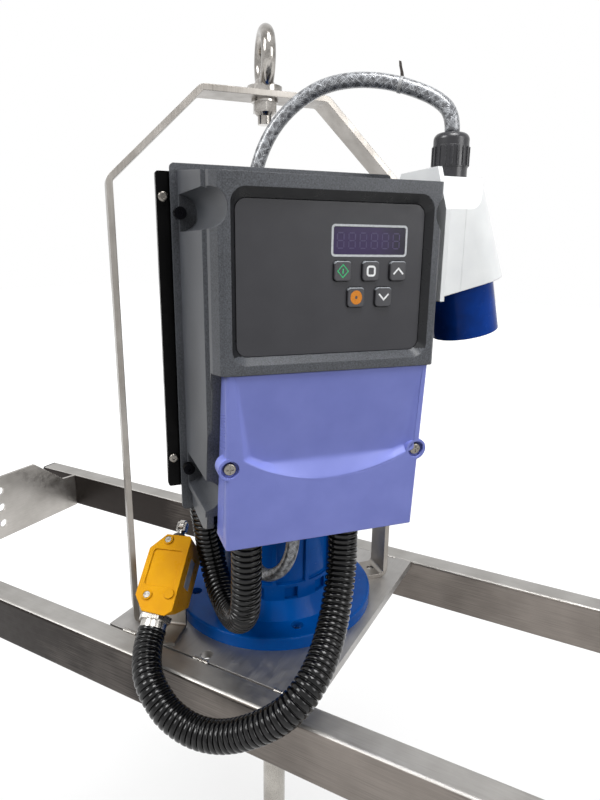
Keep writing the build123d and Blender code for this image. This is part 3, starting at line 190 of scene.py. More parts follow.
def edge_wear(tree, radius_mm):
    """Mask that is bright along sharp edges."""
    rounded = node(tree, "ShaderNodeBevel", {"samples": 4}, Radius=radius_mm * MM).outputs["Normal"]
    plain = node(tree, "ShaderNodeNewGeometry").outputs["Normal"]
    match = node(tree, "ShaderNodeVectorMath", {"operation": "DOT_PRODUCT"}, i0=rounded, i1=plain)
    return remap(tree, match.outputs["Value"], 0.985, 0.9)


def brushed(name, light, dark, rough, edge_mm, stretch=EVEN, cloud_mm=45.0, fade=None):
    """Brushed or ground metal: lines along the axis of least stretch, over cloudy handling marks.

    fade holds the two places along the rails between which painted shade, in the dark colour, gives way to
    the light one."""
    material, tree, shader = start(name, Metallic=1.0)
    lines = noise(tree, 1.0, 4.0, 0.6, stretch)
    clouds = noise(tree, cloud_mm)
    smears = noise(tree, 9.0, 2.0)
    amount = maths(tree, "ADD", maths(tree, "MULTIPLY", clouds, 0.65), maths(tree, "MULTIPLY", lines, 0.35))
    amount = spread(tree, amount)
    # painted shade: darker towards the lower place of fade, lighter towards the upper
    if fade:
        along = node(tree, "ShaderNodeSeparateXYZ", Vector=places(tree)).outputs["X"]
        amount = maths(tree, "ADD", remap(tree, along, fade[0], fade[1], -0.75, 0.5), amount, clamp=True)
    level = maths(tree, "ADD", spread(tree, lines, rough - 0.06, rough + 0.06),
                  spread(tree, smears, -0.04, 0.05))
    feed(tree, shader, blend_colours(tree, amount, dark, light), level)
    relief(tree, shader, lines, 0.012, edge_mm)
    return material


def enamel(name, colour, shade, rough):
    """Machinery paint: orange peel, and thin spots along the edges."""
    material, tree, shader = start(name, Specular_IOR_Level=0.08)
    body = blend_colours(tree, spread(tree, noise(tree, 30.0, 4.0)), shade, colour)
    worn = maths(tree, "MULTIPLY", edge_wear(tree, 0.9), 0.3)
    feed(tree, shader, blend_colours(tree, worn, body, PAINT_EDGE),
         spread(tree, noise(tree, 12.0), rough - 0.06, rough + 0.08))
    relief(tree, shader, noise(tree, 2.2, 2.0), 0.02, 0.8)
    return material


def moulded(name, colour, shade, rough, grain_mm=0.5, depth_mm=0.015, edge_mm=0.5, gloss=0.5):
    """Injection-moulded plastic or rubber with a fine grain and faint handling marks."""
    material, tree, shader = start(name, Specular_IOR_Level=gloss)
    feed(tree, shader, blend_colours(tree, spread(tree, noise(tree, 22.0)), shade, colour),
         spread(tree, noise(tree, 7.0), rough - 0.05, rough + 0.07))
    relief(tree, shader, noise(tree, grain_mm, 1.0), depth_mm, edge_mm)
    return material


def powder(name, colour, speck, rough):
    """Textured powder coat: dense fine pimples, their tops a little paler."""
    material, tree, shader = start(name, Specular_IOR_Level=0.4)
    # the real pimples are about 0.5 mm, drawn at 0.9 mm so that they show
    grain = noise(tree, 0.9, 2.0)
    clouds = noise(tree, 60.0, 2.0)
    specks = maths(tree, "ADD", spread(tree, grain, 0.0, 0.7), spread(tree, clouds, -0.1, 0.15))
    feed(tree, shader, blend_colours(tree, specks, colour, speck),
         spread(tree, grain, rough - 0.08, rough + 0.08))
    relief(tree, shader, grain, 0.06, 1.0)
    return material


def printed(name, colour, shade, rough=0.45, dots_mm=1.2):
    """Screen-printed ink, slightly mottled."""
    material, tree, shader = start(name, Roughness=rough, Specular_IOR_Level=0.35)
    feed(tree, shader, blend_colours(tree, spread(tree, noise(tree, dots_mm, 2.0)), shade, colour))
    return material


def braided(name, strands, pitch_mm):
    """Wire braid seen through a clear sheath, woven by the tube's own coordinates."""
    material, tree, shader = start(name, Metallic=0.35, Coat_Weight=1.0, Coat_Roughness=0.1, Roughness=0.38)
    parts = node(tree, "ShaderNodeSeparateXYZ", Vector=node(tree, "ShaderNodeUVMap").outputs["UV"])
    along = maths(tree, "MULTIPLY", parts.outputs["X"], 1000.0 / pitch_mm)
    around = maths(tree, "MULTIPLY", parts.outputs["Y"], strands)
    leans = [maths(tree, way, along, around) for way in ("ADD", "SUBTRACT")]
    streaks = []
    for first, second, shift in ((leans[0], leans[1], 0.0), (leans[1], leans[0], 7.0)):
        place = node(tree, "ShaderNodeCombineXYZ", X=maths(tree, "MULTIPLY", first, 5.0),
                     Y=maths(tree, "MULTIPLY", second, 0.9), Z=shift)
        streak = node(tree, "ShaderNodeTexNoise", Vector=place.outputs[0], Scale=1.0, Detail=2.0)
        streaks.append(streak.outputs["Fac"])
    waves = [maths(tree, "SINE", maths(tree, "MULTIPLY", lean, 2 * pi), 0.0) for lean in leans]
    weave = maths(tree, "ADD", maths(tree, "MAXIMUM", streaks[0], streaks[1]),
                  maths(tree, "MULTIPLY", maths(tree, "MAXIMUM", waves[0], waves[1]), 0.09))
    level = remap(tree, weave, 0.46, 0.72)
    amount = maths(tree, "MULTIPLY", level, spread(tree, noise(tree, 7.0, 2.0), 0.75, 1.0))
    feed(tree, shader, blend_colours(tree, amount, "#48494D", "#9DA0A4"))
    relief(tree, shader, level, 0.3)
    return material


def background_rays(tree):
    """1 for the rays that show the background: camera, glossy and transmission rays."""
    rays = node(tree, "ShaderNodeLightPath").outputs
    seen = maths(tree, "MAXIMUM", rays["Is Camera Ray"], rays["Is Glossy Ray"])
    return maths(tree, "MAXIMUM", seen, rays["Is Transmission Ray"])


def give(material, *names):
    """Puts a material on CAD nodes."""
    for name in names:
        slots = NODES[name].data.materials
        slots.clear()
        slots.append(material)


def give_some(name, material, test):
    """Puts a second material on the faces of a CAD node that pass a test."""
    data = NODES[name].data
    data.materials.append(material)
    index = len(data.materials) - 1
    for face in data.polygons:
        if test(face):
            face.material_index = index


# ---- mesh helpers
def placed(name, data):
    """A new object in the scene; its data takes the same name."""
    data.name = name
    made = bpy.data.objects.new(name, data)
    bpy.context.scene.collection.objects.link(made)
    return made


def mesh_of(shape, outward=False):
    """The mesh of a finished shape, its normals turned outward when asked."""
    if outward:
        bmesh.ops.recalc_face_normals(shape, faces=shape.faces)
    mesh = bpy.data.meshes.new("mesh")
    shape.to_mesh(mesh)
    shape.free()
    return mesh


def join_rows(shape, rows, closed=False):
    """Quads between neighbouring rows of points, round to the first point when closed."""
    for low, top in zip(rows, rows[1:]):
        for k in range(len(low) - (not closed)):
            n = (k + 1) % len(low)
            shape.faces.new((low[k], low[n], top[n], top[k]))


def piece(name, mesh, material, body="frame", matrix=None, smooth=False):
    """Links a new mesh object, gives it its material and lets it ride on a body."""
    made = placed(name, mesh)
    mesh.materials.append(material)
    if matrix is not None:
        made.matrix_world = matrix
    if smooth:
        for face in mesh.polygons:
            face.use_smooth = True
    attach(made, body)
    return made


def plate_mesh(outlines, thickness_mm, edge_mm=0.0):
    """Flat pieces of one thickness from closed outlines in millimetres, their base at z 0."""
    shape = bmesh.new()
    for outline in outlines:
        face = shape.faces.new([shape.verts.new((x * MM, y * MM, 0.0)) for x, y in outline])
        face.normal_update()
        if face.normal.z < 0:
            face.normal_flip()
        lifted = bmesh.ops.extrude_face_region(shape, geom=[face])["geom"]
        moved = [g for g in lifted if isinstance(g, bmesh.types.BMVert)]
        bmesh.ops.translate(shape, verts=moved, vec=(0.0, 0.0, thickness_mm * MM))
    if edge_mm:
        tops = [e for e in shape.edges if all(v.co.z > thickness_mm * MM * 0.9 for v in e.verts)]
        bmesh.ops.bevel(shape, geom=tops, offset=edge_mm * MM, segments=2, affect="EDGES")
    return mesh_of(shape, outward=True)


def rounded_box(width, height, radius, steps=5):
    """Outline of a rounded rectangle about the middle."""
    points = []
    for side, rise, first in ((1, 1, 0), (-1, 1, 90), (-1, -1, 180), (1, -1, 270)):
        for k in range(steps + 1):
            angle = radians(first + 90 * k / steps)
            points.append((side * (width / 2 - radius) + radius * cos(angle),
                           rise * (height / 2 - radius) + radius * sin(angle)))
    return points


def rounded_frame(width, height, radius, line, steps=6):
    """Two outlines, outer and inner, of a rounded frame with a line of one width."""
    return (rounded_box(width, height, radius, steps),
            rounded_box(width - 2 * line, height - 2 * line, max(radius - line, 0.2), steps))


def round_outlines(radii, count, tall):
    """Outlines with their corners on circles of the given radii, stretched upwards."""
    turns = [2 * pi * k / count for k in range(count)]
    return [[(r * cos(turn), tall * r * sin(turn)) for turn in turns] for r in radii]


def ring_mesh(outlines, thickness_mm):
    """A flat band between an outer and an inner outline with the same number of points."""
    shape = bmesh.new()
    levels = [[[shape.verts.new((x * MM, y * MM, z)) for x, y in outline] for outline in outlines]
              for z in (0.0, thickness_mm * MM)]
    (low, low_in), (top, top_in) = levels
    join_rows(shape, [low, top, top_in, low_in, low], closed=True)
    return mesh_of(shape)


def stroke(x0, y0, x1, y1, width):
    """Outline of a straight bar between two points."""
    length = sqrt((x1 - x0) ** 2 + (y1 - y0) ** 2)
    nx, ny = -(y1 - y0) / length * width / 2, (x1 - x0) / length * width / 2
    return [(x0 + nx, y0 + ny), (x0 - nx, y0 - ny), (x1 - nx, y1 - ny), (x1 + nx, y1 + ny)]


# ---- cords
def route_line(name, route):
    """Smooth centreline of a cord: the points read from its route's NURBS spline."""
    curve = bpy.data.curves.new(name + "_line", "CURVE")
    curve.dimensions = "3D"
    spline = curve.splines.new("NURBS")
    spline.points.add(len(route) - 1)
    for point, spot in zip(spline.points, route):
        point.co = (spot[0], spot[1], spot[2], 1.0)
    spline.order_u = 3
    spline.use_endpoint_u = True
    spline.resolution_u = 16
    holder = placed(name + "_line", curve)
    mesh = bpy.data.meshes.new_from_object(holder.evaluated_get(bpy.context.evaluated_depsgraph_get()))
    points = [v.co.copy() for v in mesh.vertices]
    bpy.data.objects.remove(holder)
    bpy.data.meshes.remove(mesh)
    return points


def stations(points, step):
    """Places along a line every step metres, each with its distance, tangent and side."""
    lengths = [0.0]
    for a, b in zip(points, points[1:]):
        lengths.append(lengths[-1] + (b - a).length)
    total = lengths[-1]
    count = max(2, int(round(total / step)))
    found, i, side = [], 0, None
    for k in range(count + 1):
        goal = total * k / count
        while i < len(points) - 2 and lengths[i + 1] < goal:
            i += 1
        share = (goal - lengths[i]) / max(lengths[i + 1] - lengths[i], 1e-9)
        spot = points[i].lerp(points[i + 1], share)
        before = points[max(i - 1, 0)]
        after = points[min(i + 2, len(points) - 1)]
        tangent = (points[i + 1] - before).lerp(after - points[i], share).normalized()
        if side is None:
            side = tangent.orthogonal().normalized()
        side = (side - tangent * side.dot(tangent)).normalized()
        found.append((goal, spot, tangent, side.copy()))
    return found, total


def tube(found, radius_at, sides):
    """Mesh tube through stations; its UV holds metres along and turns round."""
    shape = bmesh.new()
    layer = shape.loops.layers.uv.new("UVMap")
    rings = []
    for goal, spot, tangent, side in found:
        across = tangent.cross(side)
        r = radius_at(goal)
        turns = [2 * pi * k / sides for k in range(sides)]
        rings.append([shape.verts.new(spot + (side * cos(a) + across * sin(a)) * r) for a in turns])
    for j in range(len(rings) - 1):
        for k in range(sides):
            n = (k + 1) % sides
            face = shape.faces.new((rings[j][k], rings[j][n], rings[j + 1][n], rings[j + 1][k]))
            face.smooth = True
            corners = ((found[j][0], k), (found[j][0], k + 1), (found[j + 1][0], k + 1), (found[j + 1][0], k))
            for loop, (u, v) in zip(face.loops, corners):
                loop[layer].uv = (u, v / sides)
    shape.faces.new(list(reversed(rings[0])))
    shape.faces.new(rings[-1])
    return mesh_of(shape)


def corrugation(pitch, depth, radius):
    """Radius along a corrugated conduit: wide rounded crests with narrow grooves."""
    def at(goal):
        share = abs((goal / pitch) % 1.0 - 0.5) * 2.0
        return radius - depth * max(0.0, (share - 0.62) / 0.38) ** 1.3 - 0.28 * depth * share ** 2
    return at


def place_route(route):
    """A route given as (across, outward, up) in millimetres, in metres in the row frame."""
    return [spot_at(across, up, outward) for across, outward, up in route]


# Control points of the three cords as (across, outward, up) from the shaft axis and the rail tops.
SWITCH_CONDUIT = [(19, 127, 148), (19, 127, 124), (17, 132, 101), (10, 142, 79), (-1, 157, 60),
                  (-16, 175, 46), (-32, 187, 34), (-48, 190, 20), (-67, 182, 4), (-91, 164, -14),
                  (-112, 147, -18), (-129, 130.5, -11)]
SWITCH_CONDUIT_END = [(-5, -180, -3), (-16.5, -176, 5), (-26, -168.5, 11), (-33.5, -159, 15.5)]
MOTOR_CONDUIT = [(-63.5, 127, 148), (-63.5, 127, 75), (-64, 114, 52.5), (-65.5, 91.5, 39.5),
                 (-68, 65.5, 39.5), (-71, 43, 52.5), (-73.5, 30, 75), (-77, 29, 104), (-80, 30, 128),
                 (-80, 30, 150)]
SUPPLY_CABLE = [(93, 134, 436.5), (93, 134, 449), (85, 125, 461), (68, 112, 470), (50, 100, 475.5),
                (30, 88, 476.5), (13, 77, 473), (-2, 67, 464), (-16, 60, 450), (-27, 56, 432),
                (-34, 53, 410), (-41, 51.5, 380), (-47, 51, 345), (-50, 50.5, 305), (-51, 51, 262),
                (-52, 50, 220), (-52, 51, 180), (-52, 54, 148), (-51.5, 63, 122), (-50.5, 76, 101),
                (-48, 92, 88), (-43, 105, 84), (-35.5, 115, 89), (-28.5, 124, 102), (-24, 127, 122),
                (-24, 127, 148)]


# ---- settings
class AgitatorColours(PropertyGroup):
    """Colours of the coated and moulded parts."""
    motor: StringProperty(name="Motor", description="Gearmotor enamel, hex", default="#004F9F")
    cover: StringProperty(name="Cover", description="Terminal cover, hex", default="#7D86CC")
    switch: StringProperty(name="Switch", description="Limit switch housing, hex", default="#D99C00")
    case: StringProperty(name="Case", description="Drive casting, hex", default="#292B2F")
    inlet: StringProperty(name="Inlet", description="Mains inlet housing, hex", default="#E4E6E6")


class AgitatorCords(PropertyGroup):
    """Sizes of the conduits and the cable."""
    conduit_pitch: FloatProperty(name="Rib pitch", description="Distance from rib to rib of the conduits",
                                           default=0.0049, unit="LENGTH", min=0.002, max=0.01)
    groove: FloatProperty(name="Groove depth", description="Depth of the conduits' grooves",
                                    default=0.0019, unit="LENGTH", min=0.0, max=0.003)
    braid_pitch: FloatProperty(name="Braid pitch", description="Distance from crossing to crossing",
                                         default=0.0085, unit="LENGTH", min=0.001, max=0.02)


class AgitatorStage(PropertyGroup):
    """Camera and light."""
    lens: FloatProperty(name="Lens", description="Focal length", default=27.007, subtype="DISTANCE_CAMERA")
    sky: FloatProperty(name="Sky", description="Strength of the soft light from all round", default=0.52)
    key: FloatProperty(name="Key", description="Power of the large soft lamp", default=35.0, unit="POWER")
    floor: FloatProperty(name="Floor", description="Height of the floor", default=-0.66, unit="LENGTH")


def settings():
    """The scene's three groups of settings."""
    scene = bpy.context.scene
    return scene.agitator_colours, scene.agitator_cords, scene.agitator_stage


# ---- stage
# the camera's spot, and how far it is turned from +Y, tipped down and rolled, in degrees
CAMERA_SPOT, CAMERA_ANGLES = (0.2872, -0.4919, 0.4056), (27.82, 14.45, 0.75)
WHITE = (1.0, 1.0, 1.0, 1.0)
PAPER_DARK, PAPER_LIGHT, FLOOR_BOUNCE = [(v, v, v, 1.0) for v in (0.52, 0.56, 0.12)]
FLOOR_HALF = 12.0
LIT_MIDDLE = Vector((0.05, -0.05, 0.3))
# name, spot, width and share of the key power of each lamp
LAMPS = (("key", (-1.2, -1.7, 1.8), 1.0, 1.0), ("top", (0.55, -0.5, 2.0), 0.8, 0.8),
         ("side", (1.9, -0.3, 1.0), 0.9, 0.42))


def look(yaw, pitch, roll):
    """Rotation of a camera turned by yaw from +Y, tipped down by pitch and rolled, in degrees."""
    y, p, r = radians(yaw), radians(pitch), radians(roll)
    forward = Vector((-sin(y) * cos(p), cos(y) * cos(p), -sin(p)))
    right = forward.cross(UP).normalized()
    above = right.cross(forward)
    x = right * cos(r) + above * sin(r)
    z = -forward
    return Matrix((x, z.cross(x), z)).transposed()


class AGITATOR_OT_stage(Operator):
    """Camera, floor, background and lamps"""
    bl_idname = "agitator.stage"
    bl_label = "Stage"

    def execute(self, context):
        scene, stage = context.scene, settings()[2]
        data = bpy.data.cameras.new("camera")
        data.lens, data.sensor_width, data.clip_start, data.clip_end = stage.lens, 36.0, 0.01, 60.0
        scene.camera = placed("camera", data)
        scene.camera.matrix_world = Matrix.Translation(CAMERA_SPOT) @ look(*CAMERA_ANGLES).to_4x4()
        self.floor(stage.floor)
        self.world(scene, stage.sky)
        for name, spot, width, share in LAMPS:
            data = bpy.data.lights.new(name, "AREA")
            data.shape, data.size, data.energy = "SQUARE", width, stage.key * share
            made = placed(name, data)
            made.location = spot
            made.rotation_mode = "QUATERNION"
            made.rotation_quaternion = (LIT_MIDDLE - Vector(spot)).to_track_quat("-Z", "Y")
        scene.view_settings.view_transform = "Standard"
        return {"FINISHED"}

    def floor(self, height):
        """Matt white paper: its own glow brings it up to white where no shadow falls."""
        grid = bmesh.new()
        bmesh.ops.create_grid(grid, x_segments=8, y_segments=8, size=FLOOR_HALF)
        floor = placed("floor", mesh_of(grid))
        floor.location = (0.0, 0.0, height)
        material, tree, shader = start("floor_paper", Roughness=0.9, Specular_IOR_Level=0.0)
        feed(tree, shader, blend_colours(tree, spread(tree, noise(tree, 700.0)), PAPER_DARK, PAPER_LIGHT))
        # the glow rises away from the object, where the lamps no longer reach
        away = node(tree, "ShaderNodeVectorMath", {"operation": "LENGTH"}, i0=places(tree)).outputs["Value"]
        glow = node(tree, "ShaderNodeEmission", Color=WHITE, Strength=remap(tree, away, 0.5, 2.6, 0.33, 0.9))
        both = node(tree, "ShaderNodeAddShader", i0=shader.outputs[0], i1=glow.outputs[0])
        # what the floor throws back up at the object is that of a grey workshop floor
        thrown = node(tree, "ShaderNodeBsdfDiffuse", Color=FLOOR_BOUNCE)
        whole = node(tree, "ShaderNodeMixShader", i0=background_rays(tree), i1=thrown.outputs[0],
                     i2=both.outputs[0])
        tree.links.new(whole.outputs[0], tree.nodes["Material Output"].inputs["Surface"])
        floor.data.materials.append(material)

    def world(self, scene, strength):
        """White to look at; a soft sky, brighter overhead, as light."""
        scene.world = bpy.data.worlds.new("world")
        scene.world.use_nodes = True
        tree = scene.world.node_tree
        tree.nodes.clear()
        place = node(tree, "ShaderNodeTexCoord").outputs["Generated"]
        height = node(tree, "ShaderNodeSeparateXYZ", Vector=place).outputs["Z"]
        bright = maths(tree, "MULTIPLY", remap(tree, height, -0.2, 1.0, 0.3, 1.7), strength)
        soft = node(tree, "ShaderNodeBackground", Color=WHITE, Strength=bright)
        white = node(tree, "ShaderNodeBackground", Color=WHITE, Strength=1.0)
        seen = node(tree, "ShaderNodeMixShader", i0=background_rays(tree), i1=soft.outputs[0],
                    i2=white.outputs[0])
        node(tree, "ShaderNodeOutputWorld", Surface=seen.outputs[0])


# ---- groups of pieces
# the terminal cover, in millimetres from the drive's middle, the rail tops and the shaft's axis
COVER_HALF, COVER_LOW, COVER_TOP = 73.3, 148.0, 274.5
COVER_BACK_LOW, COVER_BACK_TOP = 140.0, 166.0
COVER_FRONT_LOW, COVER_FRONT_TOP = 170.0, 179.5
RIB_LOW, RIB_TOP, RIB_PITCH, RIB_RISE, RIB_REACH = 151.0, 246.0, 2.1, 2.4, 17.0
RIB_SECTION = ((-0.55, -0.15), (0.55, -0.15), (0.0, 0.45))
RIB_INSET_BACK, RIB_INSET_FRONT, RIB_SHORTEST = 2.0, 3.2, 2.0
LUG_UP, LUG_ROOM = 209.0, 10.5
# the scoop: its depth, floor line, least ledge, wall slope and how softly they blend
SCOOP_DEEP, SCOOP_LINE, SCOOP_LEDGE, SCOOP_WALL, SCOOP_SOFT = 5.6, 66.0, 4.0, 0.9, 1.2
SCOOP_LOWEST, SCOOP_BENDS, SCOOP_STEP = (1.0, -80.0), (0.00512, 0.003565), 0.8
SCOOP_LEFT, SCOOP_RIGHT, SCOOP_TAPER = (-67.7, 6.2), (68.9, -0.9), 60.0
SCOOP_FOOT, SCOOP_PAST, SCOOP_RAISED, SCOOP_RIM = (-62.0, 130.5), 0.6, 0.04, -0.25
SCOOP_ROWS, SCOOP_COLUMNS, SKIN = 70, 110, 0.5
CASE_FRONT = 181.0
POCKET_HALF, POCKET_LIP, POCKET_TOP, POCKET_DEEP = 69.9, 286.5, 390.0, 3.2
# keys as (across, up) and the display as (across, up, wide, high) from the drive's middle
KEYS = {"start_key": (5.8, 339.7), "stop_key": (26.1, 339.7), "up_key": (46.4, 339.7),
        "reset_key": (15.9, 322.6), "down_key": (36.2, 322.6)}
ARROW = ((-4.0, -1.7), (0.0, 2.5), (4.0, -1.7), (3.2, -2.5), (0.0, 0.9), (-3.2, -2.5))
DISPLAY = (25.5, 359.0, 52.0, 17.4)
DISPLAY_LINE, DISPLAY_PAST = 1.4, 3.0
PANEL_FACE, LENS_FACE, KEY_FACE = 175.5, 175.3, 177.7
INK, INK_SUNK = 0.16, 0.08
DIGITS, DIGIT_W, DIGIT_H, DIGIT_LINE, DIGIT_GAP = 6, 4.6, 9.6, 0.75, 0.5
DIGIT_FIRST, DIGIT_SPARE = 0.62, 0.45      # in steps from digit to digit
SWITCH_HALF = 18.75
LABEL_SIZE, LABEL_AT, LABEL_SUNK, LABEL_THICK = (12.5, 27.0), (44.0, -19.0), 0.1, 0.45
LID_SCREWS, SCREW_R, SCREW_RISE = ((-3.0, 68.5), (-8.0, 16.0)), 2.95, 0.2
CABLE_R, TIE_R, CABLE_STEP = 0.0055, 0.0059, 0.003
CONDUIT_R, CONDUIT_SIDES, ROUND_SIDES, STEPS_PER_RIB = 0.0125, 40, 32, 12
TIE_AT, TIE_WIDTH = 58.0, 3.6
# the tie's tail as (out from the cable, along it, half width, half thickness)
TIE_TAIL = ((4.8, 0.0, 1.9, 1.2), (8.0, 1.2, 1.9, 1.2), (11.5, 3.4, 1.7, 1.1), (15.0, 5.0, 1.1, 0.9))
WELD_SHARES = (0.12, 0.5, 0.88)      # where each seam is welded, as shares of the plate's length
WELD_BEADS, WELD_STEP, WELD_R, WELD_SPREAD = 9, 1.7, 1.5, (0.85, 1.15)
WELD_TURN, WELD_SHAPE = 0.4, (1.0, 1.5, 0.62, 1.0)


def scoop_arc(x):
    """Lower edge of the scoop below the cover's top edge, a shallow arc."""
    middle, lowest = SCOOP_LOWEST
    return lowest + SCOOP_BENDS[x >= middle] * (x - middle) ** 2


def scoop_sides(y):
    """Left and right edges of the scoop at a height below the cover's top edge."""
    share = min(-y, SCOOP_TAPER) / SCOOP_TAPER
    return [edge + lean * share for edge, lean in (SCOOP_LEFT, SCOOP_RIGHT)]


def scoop_depth(x, y):
    """Depth of the scoop: floor, ledge and side walls, blended softly where they meet."""
    left, right = scoop_sides(y)
    ledge = max(-SCOOP_LINE - scoop_arc(x), SCOOP_LEDGE)
    depth = SCOOP_DEEP * min(-y / SCOOP_LINE, 1.0)
    for wall in (SCOOP_DEEP * (y - scoop_arc(x) - SCOOP_STEP) / ledge, (x - left) * SCOOP_WALL,
                 (right - x) * SCOOP_WALL):
        mix = max(SCOOP_SOFT - abs(depth - wall), 0.0) / SCOOP_SOFT
        depth = min(depth, wall) - mix * mix * SCOOP_SOFT / 4
    return max(depth, 0.0)


class AGITATOR_OT_bridge(Operator):
    """Rails, plates and their fasteners"""
    bl_idname = "agitator.bridge"
    bl_label = "Bridge frame"

    def execute(self, context):
        # cold-drawn stainless section: top ground bright; the sides are a darker copy that carries painted
        # shade and a painted dark reflection, darkest to the left
        top = brushed("stainless_section_ground", "#BAB8B5", "#989591", 0.46, 0.8, (0.03, 1.0, 1.0))
        side = brushed("stainless_section_painted_shade", "#867F79", "#2F2B29", 0.4, 0.8, (0.02, 1.0, 1.0),
                       120.0, (-0.35, 0.35))
        give(top, "front_rail", "rear_rail")
        for rail in ("front_rail", "rear_rail"):
            give_some(rail, side, lambda face: abs(face.normal.z) < 0.6)
        # laser-cut stainless sheet, brushed across
        sheet = brushed("stainless_sheet_brushed", "#BCBAB8", "#92908E", 0.5, 0.5, (1.0, 0.03, 1.0), 60.0)
        give(sheet, "motor_plate")
        ends = brushed("stainless_end_sheet", "#C6C2BD", "#A39F9A", 0.36, 0.5, (1.0, 0.05, 1.0))
        give(ends, "left_end_plate", "right_end_plate")
        # turned and stamped stainless fasteners
        give(brushed("stainless_fastener", "#C8C6C2", "#96938F", 0.28, 0.3, (1.0, 1.0, 0.2)), "plate_bolts")
        # push-in polyethylene caps
        give(moulded("polyethylene_cap", "#17171A", "#0E0E10", 0.5), "rail_caps")
        self.welds()
        return {"FINISHED"}

    def welds(self):
        """Short runs of weld beads where the motor plate meets the rails' tops."""
        bead = brushed("weld_bead_bright", "#DAD8D4", "#8F8A84", 0.3, 0.2, cloud_mm=3.0)
        low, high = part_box("motor_plate")
        rng = random.Random(11)
        form = Matrix.Rotation(WELD_TURN, 4, "Z") @ Matrix.Diagonal(WELD_SHAPE)
        shape = bmesh.new()
        for y in (low[1], high[1]):
            for share in WELD_SHARES:
                middle = low[0] + (high[0] - low[0]) * share
                for k in range(WELD_BEADS):
                    spot = Vector((middle + (k - WELD_BEADS / 2) * WELD_STEP * MM, y, RAIL_TOP * MM))
                    size = WELD_R * rng.uniform(*WELD_SPREAD) * MM
                    bmesh.ops.create_uvsphere(shape, u_segments=10, v_segments=6, radius=size,
                                              matrix=Matrix.Translation(spot) @ form)
        piece("weld_beads", mesh_of(shape), bead, smooth=True)


class AGITATOR_OT_gearmotor(Operator):
    """Gearbox, motor, terminal box and the inner pieces"""
    bl_idname = "agitator.gearmotor"
    bl_label = "Gearmotor"

    def execute(self, context):
        # sprayed machinery enamel over cast iron
        paint = enamel("blue_machine_enamel", settings()[0].motor, "#004590", 0.2)
        give(paint, "gearbox_housing", "gearbox_shield", "motor_housing", "motor_end_shield", "fan_cowl",
             "motor_terminal_box")
        # hobbed and ground gear steel
        steel = brushed("gear_steel_ground", "#8E8E90", "#6A6A6E", 0.33, 0.2, (1.0, 1.0, 0.1))
        give(steel, "rotor", "layshaft", "inner_bearings", "output_wheel", "output_bearings")
        # varnished copper windings, a moulded fan and a rubber seal
        give(enamel("varnished_windings", "#8A4A22", "#5A2C14", 0.4), "stator")
        give(moulded("polyamide_fan", "#1A1A1C", "#101012", 0.5), "cooling_fan")
        give(moulded("nitrile_seal", "#141414", "#0C0C0C", 0.6), "shaft_seal")
        return {"FINISHED"}


class AGITATOR_OT_shaft(Operator):
    """Output shaft, coupling, mixing shaft and impeller"""
    bl_idname = "agitator.shaft"
    bl_label = "Shaft and impeller"

    def execute(self, context):
        # polished stainless shafting
        polished = brushed("stainless_shaft_polished", "#BDB9B2", "#8F8B85", 0.26, 0.3, (1.0, 1.0, 0.6))
        give(polished, "output_shaft", "mixing_shaft", "shaft_coupling")
        # bead-blasted stainless blades
        give(brushed("stainless_blade_blasted", "#A9A6A0", "#8B8883", 0.42, 0.5), "impeller")
        return {"FINISHED"}


class AGITATOR_OT_lifting(Operator):
    """Strap, eye and nut"""
    bl_idname = "agitator.lifting"
    bl_label = "Lifting gear"

    def execute(self, context):
        # hot-rolled stainless flat bar, brushed along its length
        bar = brushed("stainless_flat_bar", "#A8A49F", "#7E7973", 0.36, 0.9, (1.0, 1.0, 0.05))
        give(bar, "lifting_strap")
        # drop-forged and polished stainless
        forged = brushed("stainless_forged_eye", "#C4C0BB", "#66625D", 0.16, 0.6, cloud_mm=14.0)
        give(forged, "lifting_eye", "lifting_eye_nut")
        return {"FINISHED"}


